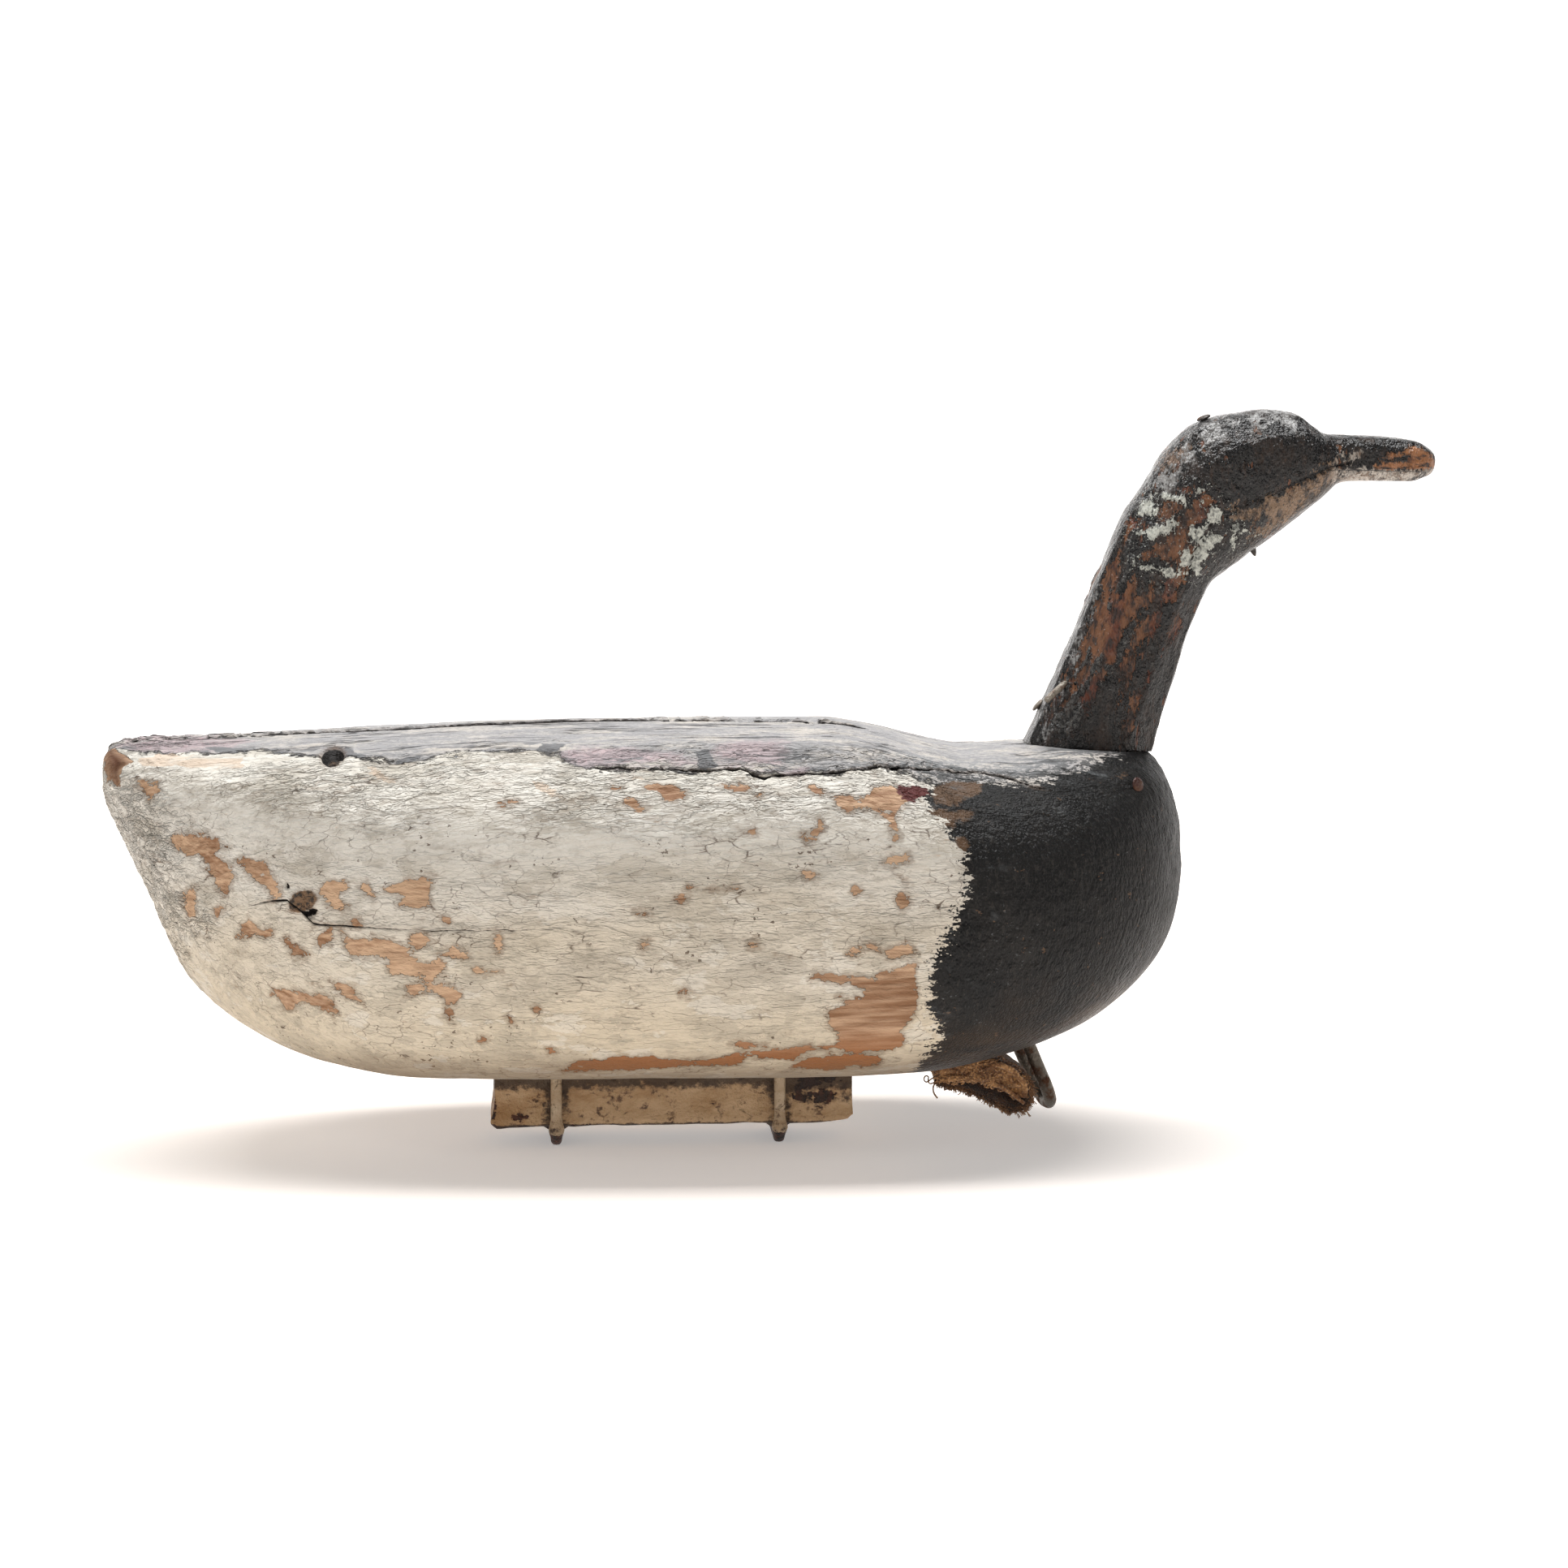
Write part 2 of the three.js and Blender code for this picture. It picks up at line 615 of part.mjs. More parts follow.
const crown = onHead(92.2, 167);
const throughThroat = onHead(119, 98).sub(crown);
const nails = {
  // Driven down through the crown to close a split, its point coming out under the throat
  head_nail: {
    at: crown,
    towards: throughThroat,
    length: throughThroat.length() + HEAD_NAIL_PROUD,
    headed: true,
  },
  // Toe-nailed through the foot of the neck into the shelf
  neck_nail_rear: {
    at: onHead(6.6, 19.8, 4),
    towards: new THREE.Vector3(0.74, -0.04, -0.67),
    length: NECK_NAIL_LENGTH,
    headed: true,
  },
  // A headless nail that stands out of the neck's near rear corner
  neck_nail_side: {
    at: onHead(9.4, 24.6, -20.5),
    towards: new THREE.Vector3(0.66, 0.5, 0.5),
    length: SIDE_NAIL_LENGTH,
    headed: false,
  },
  // A rusted head on the near side of the breast, below the front of the neck
  breast_nail: {
    at: onNearSide(BODY_LENGTH - BREAST_NAIL_SETBACK, backZ - BREAST_NAIL_DROP),
    towards: new THREE.Vector3(-0.62, 0.75, -0.2),
    length: BREAST_NAIL_LENGTH,
    headed: true,
  },
};

/** Every nail's solid, or every nail's bore. */
function nailSolids(extra = 0) {
  return Object.fromEntries(
    Object.entries(nails).map(([name, placing]) => [name, drivenNail(placing, extra)]),
  );
}

// Assembly
const bores = Object.values(nailSolids(CLEARANCE));
const boreOut = (solid, tools) => tools.reduce((left, tool) => left.subtract(tool), solid);
const body = boreOut(bodyBlock(), [
  ...bores,
  ...Object.values(stapleStations).map((x) => ballastStaple(x, CLEARANCE)),
  anchorStaple(CLEARANCE),
]);

const decoy = new THREE.Group();
decoy.add(
  piece("body", toGeometry(body), whitePaint),
  piece("head_and_neck", toGeometry(boreOut(headAndNeck(), bores)), blackPaint),
  piece("ballast_bar", toGeometry(ballastBar()), rustyBar),
  piece("anchor_staple", toGeometry(anchorStaple()), darkIron),
  piece("frayed_strap", toGeometry(frayedStrap()), webbing),
);
for (const [name, x] of Object.entries(stapleStations)) {
  decoy.add(piece(name, toGeometry(ballastStaple(x)), paintedStaple));
}
for (const [name, solid] of Object.entries(nailSolids())) {
  decoy.add(piece(name, toGeometry(solid), darkIron));
}

// The frame's origin is under the middle of the overall length.
const extent = new THREE.Box3().setFromObject(decoy);
decoy.position.x = -(extent.min.x + extent.max.x) / 2;

export default decoy;
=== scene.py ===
"""Looks of a floating goose decoy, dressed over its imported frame.

Shapes are worked out in millimetres, in the frame's own axes: +X from the tail to the bill, +Z up,
the ground at Z = 0, and -Y the side that the camera sees. Meshes are made in metres.
"""

from __future__ import annotations

import functools
import itertools
import logging
import math
from dataclasses import dataclass, field
from enum import Enum
from typing import Iterable, Sequence

import bpy
import numpy as np
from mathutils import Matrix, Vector

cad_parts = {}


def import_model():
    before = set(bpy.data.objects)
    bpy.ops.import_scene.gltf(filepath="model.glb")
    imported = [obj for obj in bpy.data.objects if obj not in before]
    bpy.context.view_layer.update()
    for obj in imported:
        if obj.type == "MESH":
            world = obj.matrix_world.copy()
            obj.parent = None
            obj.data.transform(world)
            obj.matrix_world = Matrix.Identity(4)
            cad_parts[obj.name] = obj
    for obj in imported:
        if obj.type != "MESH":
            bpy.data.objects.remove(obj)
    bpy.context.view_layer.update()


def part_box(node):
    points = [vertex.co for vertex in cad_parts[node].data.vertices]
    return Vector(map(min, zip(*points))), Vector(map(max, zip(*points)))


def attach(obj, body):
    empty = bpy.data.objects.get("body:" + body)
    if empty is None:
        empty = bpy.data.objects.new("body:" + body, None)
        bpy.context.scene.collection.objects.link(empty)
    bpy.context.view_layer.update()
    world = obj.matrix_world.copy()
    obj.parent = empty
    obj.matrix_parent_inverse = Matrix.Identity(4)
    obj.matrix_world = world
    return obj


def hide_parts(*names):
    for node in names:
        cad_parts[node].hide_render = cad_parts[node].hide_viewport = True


LOG = logging.getLogger("goose_decoy")
MM = 0.001
TAIL_END = -342.75  # the tail's end in the frame; stations along the body count from it
BODY_BOTTOM = 44.45  # the flat bottom's height above the ground

# Keys of the smooth random values
WORD = 0xFFFFFFFF
AXIS_KEYS = (374761393, 668265263, 1103515245)
SEED_KEY, MIX_KEY = 1442695041, 1274126177

# Short names of types
Array = np.ndarray
Piece = bpy.types.Object
Material = bpy.types.Material
Table = Sequence[Sequence[float]]
Outline = Sequence[tuple[float, float]]
Triple = tuple[float, float, float]
Rgba = tuple[float, float, float, float]
Socket = bpy.types.NodeSocket
Input = Socket | float | Triple | Rgba

# The carver's lines of the body, as in the part: station, back, underside, half the beam
BODY_LINES = (
    (0, 158.6, 137, 28), (2.5, 162.6, 131, 34), (9, 164.4, 118, 42), (23, 165.5, 87.5, 53),
    (43, 166.7, 46, 67), (71, 168.4, 22, 83), (110, 170.9, 6.5, 99), (160, 173.2, 0.4, 111),
    (230, 174.7, 0, 119.5), (320, 175.5, 0, 122), (365, 175.4, 0, 121.5),
    (391, 171.6, 0.5, 120.5), (415, 165.4, 1.2, 118.5), (440, 160.6, 3.8, 114.5),
    (470, 161.4, 9.2, 105.5), (497, 162.8, 17.6, 93.5), (515, 162.8, 27.6, 81.5),
    (530, 159.8, 40, 67), (540.5, 152, 52.2, 51), (548.3, 136, 68.5, 33),
    (552, 121, 84, 17.5), (553, 102, 102, 0),
)
# Half sections from the ridge to the middle of the bottom: shares of half the beam and the height
TAIL_SECTION = (
    (0, 1), (0.4, 0.99), (0.8, 0.95), (0.99, 0.8), (1.01, 0.52),
    (0.9, 0.28), (0.66, 0.09), (0.42, 0.01), (0.2, 0), (0, 0),
)
MIDDLE_SECTION = (
    (0, 1.004), (0.36, 0.98), (0.76, 0.915), (0.98, 0.775), (1.02, 0.48),
    (0.99, 0.2), (0.86, 0.035), (0.62, 0.001), (0.3, 0), (0, 0),
)
BREAST_SECTION = (
    (0, 1), (0.32, 0.992), (0.66, 0.925), (0.93, 0.76), (1.03, 0.5),
    (0.95, 0.25), (0.72, 0.085), (0.46, 0.025), (0.22, 0.002), (0, 0),
)
# Ribs of the head and neck, as in the part: back point, throat point, half the width, squareness
HEAD_RIBS = (
    (0, 0, 66, -4.15, 21, 3.4), (7.6, 16.6, 70, 11.5, 20.8, 3.3), (19, 42, 78.8, 41, 20.4, 3.1),
    (29.4, 67, 87.7, 66, 20.6, 3), (39.4, 92, 95.7, 83, 21.4, 2.8), (50, 117, 104, 89.5, 22.6, 2.6),
    (60, 132.5, 115, 97.5, 23.8, 2.5), (73, 152.2, 127, 106, 24.7, 2.5),
    (88, 165, 137, 113.5, 25, 2.5), (106, 170.2, 145, 119.5, 24.4, 2.5),
    (123, 172, 152, 125, 22.6, 2.5), (137.5, 170.6, 158, 129.5, 19.8, 2.4),
    (147.5, 164.4, 162, 132.3, 17, 2.4), (156, 159.4, 166, 133.2, 14.8, 2.5),
    (167, 158.6, 171, 133.7, 13.3, 2.7), (180, 158.1, 181.5, 133.7, 12.7, 2.8),
    (192, 157.2, 192, 133.6, 12.8, 2.8), (201.5, 155.8, 201.5, 134.2, 12, 2.7),
    (208, 152.6, 208, 136.6, 9.8, 2.6), (211.8, 149, 211.8, 140.4, 6, 2.4),
    (213.1, 144.8, 213.1, 144.8, 0, 2.4),
)
HEAD_ORIGIN = (129.65, 0.0, 205.75)  # the rear edge of the neck's foot

# Wear on the body as station and girth from the ridge down the near side. Each row is one patch's
# outline, in pairs of half millimetres: bare wood, the tail's dark tip, primer, mauve and old grey
# paint on the back, and stains.
BODY_BARE = (
    (75, 178, 79, 174, 96, 182, 114, 194, 132, 209, 111, 205, 109, 209, 129, 222, 136, 240, 130,
     255, 126, 255, 114, 232, 103, 207, 85, 192, 74, 190),
    (139, 224, 148, 222, 165, 234, 170, 240, 177, 257, 182, 273, 176, 277, 167, 260, 155, 247),
    (221, 280, 228, 272, 237, 271, 250, 277, 250, 282, 241, 282, 238, 287, 241, 294, 250, 298, 245,
     301, 236, 296, 232, 289),
    (263, 279, 269, 279, 273, 288, 277, 294, 275, 297, 268, 291, 261, 282),
    (285, 289, 302, 288, 311, 281, 327, 282, 336, 285, 331, 293, 332, 312, 315, 311, 297, 306, 305,
     299),
    (39, 105, 45, 107, 51, 115, 58, 115, 62, 124, 52, 131),
    (140, 301, 149, 284, 153, 288, 162, 301, 173, 306, 174, 312, 166, 313, 157, 307),
    (185, 317, 196, 327, 212, 339, 207, 341, 197, 337),
    (218, 323, 232, 319, 231, 328, 221, 336),
    (242, 320, 255, 333, 286, 337, 304, 345, 318, 363, 329, 370, 340, 367, 347, 373, 346, 381, 337,
     383, 335, 389, 353, 397, 362, 404, 353, 413, 342, 403, 328, 397, 305, 398, 307, 390, 325, 388,
     321, 378, 292, 371, 288, 360, 277, 355, 257, 350, 250, 341),
    (308, 343, 318, 338, 329, 342, 334, 348, 319, 352),
    (337, 359, 355, 356, 355, 358, 370, 370, 360, 370, 351, 364),
    (171, 365, 179, 369, 206, 379, 229, 390, 239, 404, 233, 407, 215, 393, 204, 388, 195, 389, 190,
     398, 184, 393, 181, 380, 169, 374),
    (230, 372, 241, 375, 252, 382, 255, 390, 267, 407),
    (345, 417, 350, 416, 354, 424, 351, 434, 344, 431),
    (87, 236, 94, 235, 98, 248, 96, 265, 91, 266, 87, 254),
    (116, 264, 122, 265, 121, 274, 118, 276),
    (342, 326, 347, 325, 349, 333, 346, 328),
    (254, 314, 261, 314, 263, 321, 254, 319),
    (370, 381, 376, 380, 381, 385, 400, 388, 386, 388, 373, 385),
    (703, 209, 708, 207, 720, 211, 723, 218, 715, 219, 708, 217),
    (730, 221, 742, 220, 752, 223, 751, 233, 743, 243, 735, 240),
    (753, 232, 774, 200, 789, 195, 798, 198, 803, 210, 795, 222, 789, 227, 771, 231),
    (778, 235, 790, 231, 791, 238, 787, 248, 782, 244),
    (786, 256, 791, 251, 793, 258, 790, 263, 786, 261),
    (776, 284, 784, 276, 802, 268, 803, 275, 797, 280, 792, 286),
    (792, 295, 799, 292, 802, 296, 795, 300),
    (788, 318, 790, 313, 797, 310, 802, 312, 802, 318, 796, 325, 790, 324),
    (696, 264, 703, 266, 710, 261, 715, 250, 718, 257, 709, 267, 699, 270),
    (635, 259, 648, 258, 652, 265, 643, 265, 637, 263),
    (698, 302, 708, 302, 706, 307, 702, 308),
    (746, 318, 750, 315, 753, 319, 749, 322),
    (640, 369, 649, 369, 650, 373, 642, 374),
    (741, 381, 759, 370, 766, 367, 769, 371, 780, 370, 790, 364, 803, 360, 805, 366, 784, 378, 769,
     376),
    (704, 408, 710, 400, 736, 403, 769, 403, 769, 396, 794, 389, 798, 381, 809, 377, 810, 387, 809,
     409, 806, 432, 799, 445, 795, 470, 751, 489, 727, 480, 735, 468, 729, 457, 721, 453, 723, 441,
     742, 436, 732, 425, 757, 423, 759, 413, 728, 409),
    (691, 510, 704, 495, 724, 490, 771, 489, 778, 494, 761, 509, 725, 515),
    (376, 456, 380, 453, 385, 457, 383, 458),
    (441, 473, 446, 473, 454, 479, 447, 481, 443, 477),
    (404, 433, 408, 433, 413, 440, 410, 441),
    (402, 399, 407, 398, 411, 401, 406, 403),
    (429, 427, 434, 427, 437, 430, 434, 431),
    (393, 357, 397, 349, 401, 358, 400, 368, 394, 368),
    (582, 314, 594, 313, 593, 315, 585, 316),
    (603, 317, 611, 314, 631, 317, 619, 318),
    (571, 323, 577, 321, 583, 323, 582, 327, 578, 329, 572, 326),
    (531, 338, 538, 337, 545, 340, 535, 340),
    (538, 368, 541, 366, 545, 367, 544, 372, 540, 375, 537, 372),
    (640, 369, 645, 369, 650, 372, 646, 374, 641, 373),
    (573, 417, 580, 414, 588, 416, 582, 421, 574, 420),
    (627, 479, 632, 474, 645, 473, 661, 480, 651, 483),
    (457, 508, 478, 493, 497, 494, 505, 490, 520, 488, 547, 489, 557, 494, 608, 495, 627, 489, 651,
     485, 682, 483, 707, 479, 731, 479, 707, 488, 682, 495, 645, 491, 633, 503, 609, 505, 576, 505,
     522, 512, 498, 512),
    (398, 217, 407, 219, 411, 214, 417, 218, 412, 221, 402, 222),
    (538, 203, 556, 204, 571, 207, 586, 220, 584, 225, 576, 223, 562, 225, 558, 216, 544, 210),
    (612, 208, 629, 207, 640, 205, 647, 211, 637, 215, 630, 214),
    (524, 221, 538, 228, 542, 233, 538, 237, 531, 234),
    (508, 203, 520, 201, 522, 206, 513, 207),
    (650, 225, 657, 217, 660, 220, 661, 225),
    (635, 259, 641, 261, 646, 258, 652, 264, 652, 266, 642, 264),
)
BODY_TIP = (
    (0, 26, 10, 25, 18, 53, 31, 80, 23, 88, 19, 103, 12, 95, 7, 83, 1, 59),
)
BODY_PRIMER = (
    (40, 78, 62, 72, 94, 81, 120, 92, 142, 99, 144, 124, 121, 120, 88, 104, 63, 97, 46, 91),
    (270, 142, 280, 146, 283, 160, 296, 171, 294, 174, 280, 170, 275, 159),
    (423, 189, 432, 188, 442, 192, 453, 204, 461, 216, 452, 214, 442, 210, 435, 201),
)
BODY_MAUVE = (
    (467, 131, 501, 126, 530, 137, 558, 151, 586, 160, 595, 168, 568, 171, 534, 170, 500, 164, 472,
     151),
    (615, 144, 640, 113, 682, 112, 678, 169, 648, 161, 621, 160),
    (19, 12, 60, 3, 95, 9, 141, 37, 124, 64, 87, 63, 41, 57),
    (629, 175, 693, 183, 713, 190, 687, 197, 657, 198, 628, 189),
)
BODY_OLD_GREY = (
    (421, 183, 423, 174, 433, 173, 437, 182, 445, 184, 443, 191, 435, 188, 423, 187),
    (405, 173, 409, 169, 415, 174, 410, 179),
    (543, 187, 579, 185, 590, 194, 601, 188, 646, 187, 652, 195, 645, 202, 629, 202, 616, 206, 598,
     203, 571, 204, 550, 201),
    (596, 143, 608, 131, 611, 142, 613, 159, 613, 176, 602, 182, 597, 166),
    (435, 128, 442, 108, 466, 110, 466, 120, 460, 131, 445, 134),
    (455, 158, 465, 158, 458, 176, 452, 170),
    (226, 88, 237, 82, 251, 92, 260, 114, 280, 131, 272, 138, 254, 122, 240, 107, 226, 102),
    (301, 129, 314, 125, 316, 139, 297, 144),
    (104, 54, 132, 62, 168, 82, 196, 96, 216, 110, 208, 116, 180, 104, 116, 72),
    (240, 88, 252, 100, 266, 118, 282, 130, 281, 144, 258, 132, 246, 115),
    (304, 128, 312, 124, 316, 139, 307, 142),
)
BODY_WINE = (
    (793, 193, 801, 194, 815, 183, 828, 183, 823, 197, 810, 211, 804, 211, 798, 207, 794, 202),
)
BODY_BROWN = (
    (825, 265, 830, 254, 841, 250, 851, 239, 859, 234, 861, 244, 850, 258, 842, 265, 834, 263, 828,
     266),
    (817, 226, 828, 214, 849, 204, 873, 199, 868, 207, 852, 218, 843, 232, 832, 231),
    (829, 177, 860, 149, 885, 145, 880, 168, 859, 189, 845, 201, 832, 201),
)
BODY_WEAR = {
    "bare": BODY_BARE, "tip": BODY_TIP, "primer": BODY_PRIMER, "mauve": BODY_MAUVE,
    "old_grey": BODY_OLD_GREY, "wine": BODY_WINE, "brown": BODY_BROWN,
}
# The grey back's border, the breast's black and the three long cracks
BACK_BORDER = (
    (5, 19), (22, 31), (44, 36), (67, 40), (80, 39), (101, 52), (113, 56), (129, 59), (147, 70),
    (162, 69), (178, 63), (194, 62), (214, 65), (230, 69), (236, 84), (258, 87), (294, 91.5),
    (323, 91.5), (338, 96), (371, 93), (392, 81), (408, 84), (416, 85),
)
BLACK_TOP = (
    (416, 85), (430, 73), (444, 71.5), (458, 76.5), (469, 74), (485, 62), (501, 52), (519, 27),
    (533, -14),
)
BLACK_REAR = (
    (411, 100.5), (411, 106), (418, 112), (422, 119), (428, 124.5), (430, 133), (430, 143),
    (428.5, 150), (424, 158.5), (422, 167), (419, 175), (413, 182.5), (412, 193), (413.5, 201),
    (409.5, 206.5), (416, 215.5), (417.5, 225), (414, 231), (409.5, 238), (408, 247),
)
TOP_CRACK = (
    (0, -1), (7, 0), (50, 4), (95, 8), (120, 10), (153, 12), (194, 11), (240, 8), (290, 7),
    (320, 8), (342, 10.5), (358, 14), (372, 18), (384, 20), (405, 13), (430, 5), (553, 0),
)
BORDER_CRACK = (
    (234, 85.3), (250, 87.3), (258.6, 86.8), (267, 89.1), (277, 89.1), (290, 90.6), (294, 92.2),
    (310, 91.5), (320.6, 91), (325.6, 95.9), (331, 98.6), (338, 96.7), (350, 95.3), (371, 92.8),
    (387, 84), (393, 80.7), (405, 75.3), (420, 67.5), (439, 62.4), (450, 66), (460, 71.4),
    (467, 75.2), (479, 77.4),
)
FLANK_CRACK = (
    (73, 136.7), (81, 137.2), (94.5, 139.4), (102, 146.7), (108, 155.3), (121, 158.7),
    (137, 162.3), (153, 166), (169, 169), (189, 171.6), (209, 173.7), (229, 174.8), (249, 179.2),
    (265, 179.6), (289, 180.4), (304, 183.3), (318, 187), (326, 185.7), (352, 187.8), (366, 187),
)
# Half width of each crack along the body
TOP_CRACK_GAPE = (
    (0, 0), (7, 1.2), (20, 2.0), (70, 1.9), (110, 1.1), (150, 1.2), (200, 0.6), (260, 0.6),
    (290, 2.0), (330, 2.5), (365, 2.2), (378, 0.6), (392, 0),
)
BORDER_CRACK_GAPE = (
    (226, 0), (240, 0.25), (260, 0.4), (300, 0.5), (320, 0.7), (326, 0.9), (340, 0.5), (371, 0.35),
    (385, 1.1), (393, 1.5), (399, 1.4), (405, 0.7), (420, 0.5), (440, 0.5), (460, 0.5), (479, 0.2),
    (490, 0),
)
FLANK_CRACK_GAPE = (
    (70, 0), (80, 0.25), (100, 0.5), (110, 0.42), (150, 0.22), (200, 0.2), (240, 0.1), (262, 0.03),
    (300, 0.08), (330, 0.1), (366, 0),
)

# Wear on the head and neck, with the painted sheen on the crown and the neck's rear edge, in pairs
# of half millimetres, forward and up from the neck's rear edge
HEAD_WHITE = (
    (185, 249, 198, 242, 193, 232, 182, 225, 175, 211, 165, 208, 163, 225, 173, 228, 182, 234),
    (175, 212, 188, 220, 197, 213, 189, 209, 175, 187, 173, 177, 157, 188, 157, 198, 160, 201, 165,
     202, 164, 191, 168, 191),
    (206, 220, 211, 228, 231, 218, 220, 221, 207, 218),
    (114, 245, 118, 251, 125, 255, 132, 242, 126, 236, 113, 237),
    (133, 228, 149, 238, 148, 231, 144, 220, 130, 214, 124, 212, 109, 219, 120, 224),
    (133, 259, 151, 258, 158, 260, 164, 251, 161, 246, 149, 253, 138, 254),
    (169, 264, 173, 266, 176, 263, 173, 260, 169, 260),
    (174, 252, 179, 254, 180, 248, 175, 247),
    (108, 191, 116, 185, 126, 187, 153, 180, 163, 179, 151, 174, 138, 174, 130, 183, 116, 181),
    (206, 213, 211, 212, 211, 204, 207, 208),
)
HEAD_WOOD = (
    (166, 253, 177, 262, 188, 256, 183, 239, 177, 228, 163, 226, 163, 206, 175, 209, 168, 191, 164,
     191, 164, 198, 159, 200, 156, 191, 150, 185, 133, 193, 114, 190, 121, 201, 138, 216, 150, 229,
     151, 237, 157, 235),
    (135, 247, 142, 254, 152, 252, 156, 247, 151, 239, 133, 228, 129, 232),
    (151, 264, 159, 269, 167, 265, 162, 257, 155, 260),
    (108, 239, 119, 230, 106, 221, 97, 202, 96, 187, 90, 169, 83, 169, 93, 196, 99, 217),
    (80, 183, 91, 189, 98, 181, 93, 166, 91, 155, 108, 176, 111, 166, 110, 155, 115, 155, 122, 166,
     136, 171, 141, 156, 152, 162, 152, 153, 135, 143, 129, 149, 116, 140, 110, 131, 101, 123, 90,
     99, 89, 83, 78, 72, 73, 57, 66, 50, 53, 19, 28, 21, 35, 41, 46, 63, 35, 59, 48, 88, 74, 153),
    (115, 127, 122, 135, 129, 138, 137, 137, 135, 125, 111, 100, 108, 82, 94, 45, 90, 39, 97, 61,
     91, 77, 94, 90, 104, 110),
    (153, 132, 158, 130, 156, 119, 144, 104, 138, 94, 136, 101),
    (96, 21, 104, 38, 109, 54, 116, 63, 124, 76, 121, 64, 111, 38, 104, 6, 95, 8),
    (129, 153, 151, 185, 161, 192, 166, 184, 155, 166, 136, 150),
)
HEAD_BLACK = (
    (104, 129, 110, 131, 110, 126, 104, 110, 96, 95, 93, 83, 89, 84, 94, 110, 102, 121),
    (73, 95, 77, 94, 76, 86, 66, 73, 50, 44, 39, 34, 34, 34, 46, 53, 62, 73, 69, 89),
    (54, 99, 56, 96, 45, 72, 45, 79),
    (62, 101, 64, 100, 62, 89, 56, 77, 47, 70, 53, 82, 60, 91),
    (110, 166, 114, 165, 114, 156, 111, 155),
    (126, 163, 129, 169, 133, 170, 138, 166, 138, 158, 134, 155, 130, 155),
    (84, 163, 87, 163, 85, 152, 85, 140, 83, 138, 81, 145),
    (96, 176, 104, 195, 108, 194, 100, 172, 93, 160, 89, 158),
    (79, 83, 83, 86, 88, 80, 85, 74, 80, 75),
    (71, 65, 76, 67, 79, 63, 75, 58, 72, 61),
    (34, 34, 52, 45, 56, 35, 53, 19, 40, 13, 21, 14, 28, 30),
)
HEAD_TAN = (
    (134, 276, 137, 287, 145, 299, 154, 306, 166, 308, 157, 293, 148, 288, 138, 277),
    (208, 236, 215, 243, 240, 245, 233, 234, 224, 231, 213, 233),
    (250, 258, 282, 271, 305, 284, 315, 285, 327, 280, 320, 268, 251, 220, 228, 209, 223, 214, 247,
     229, 236, 247),
    (325, 282, 423, 283, 421, 279, 402, 269, 323, 266),
    (199, 245, 210, 250, 211, 247, 200, 242),
    (302, 290, 324, 296, 341, 303, 341, 300, 324, 291, 311, 287),
)
HEAD_TIPWOOD = (
    (395, 307, 405, 306, 416, 298, 423, 291, 424, 284, 359, 283, 358, 286, 382, 290, 398, 289, 400,
     294, 394, 301),
    (363, 292, 375, 299, 397, 304, 396, 300),
)
# Light grey on the crown and up the neck's rear edge: rubbed paint and a painted sheen
HEAD_SCUFF_AND_SHEEN = (
    (124, 268, 132, 292, 158, 318, 184, 330, 208, 338, 244, 342, 272, 340, 290, 324, 272, 320, 244,
     326, 212, 322, 188, 310, 164, 292, 150, 272, 136, 256),
    (0, 0, 28, 56, 84, 192, 104, 236, 124, 268, 128, 256, 104, 208, 72, 124, 18, 0),
)
HEAD_WEAR = {
    "white": HEAD_WHITE, "wood": HEAD_WOOD, "black": HEAD_BLACK, "tan": HEAD_TAN,
    "orange": HEAD_TIPWOOD, "scuff_and_sheen": HEAD_SCUFF_AND_SHEEN,
}


# Numbers and fields


def linear(red: float, green: float, blue: float) -> Rgba:
    """Turn a colour from 0 to 255, as a screen shows it, into the renderer's linear colour."""
    shares = [value / 255 for value in (red, green, blue)]
    return (*(s / 12.92 if s <= 0.04045 else ((s + 0.055) / 1.055) ** 2.4 for s in shares), 1.0)


def ease(value: Array, low: float, high: float) -> Array:
    """Rise smoothly from 0 at low to 1 at high.

    Args:
        value: The values to map.
        low: Where the result leaves 0.
        high: Where the result reaches 1.

    Returns:
        Values from 0 to 1.
    """
    share = np.clip((np.asarray(value, float) - low) / (high - low), 0.0, 1.0)
    return share * share * (3 - 2 * share)


def along_table(table: Outline, at: Array) -> Array:
    """Read a two-column table at any stations, straight between its rows.

    Args:
        table: Rows of station and value.
        at: The stations.

    Returns:
        The values there.
    """
    rows = np.asarray(table, float)
    return np.interp(at, rows[:, 0], rows[:, 1])


def lumps(points: Array, size: float, seed: int) -> Array:
    """Smooth random values in space, the same on every run.

    Args:
        points: Points in mm, in any array.
        size: Distance over which the values change, in mm.
        seed: Picks the pattern.

    Returns:
        A value from -1 to 1 for each point.
    """
    scaled = np.asarray(points, float) / size
    cell = np.floor(scaled).astype(np.int64)
    part = scaled - cell
    part = part * part * (3 - 2 * part)
    shape = scaled.shape[:-1]
    total = np.zeros(shape)
    for corner in itertools.product((0, 1), repeat=scaled.shape[-1]):
        mixed = np.full(shape, (seed * SEED_KEY) & WORD, np.int64)
        weight = np.ones(shape)
        for axis, step in enumerate(corner):
            mixed = (mixed + (cell[..., axis] + step) * AXIS_KEYS[axis]) & WORD
            weight = weight * (part[..., axis] if step else 1 - part[..., axis])
        mixed = ((mixed ^ (mixed >> 13)) * MIX_KEY) & WORD
        mixed = mixed ^ (mixed >> 16)
        total += weight * (mixed / 2147483648.0 - 1.0)
    return total


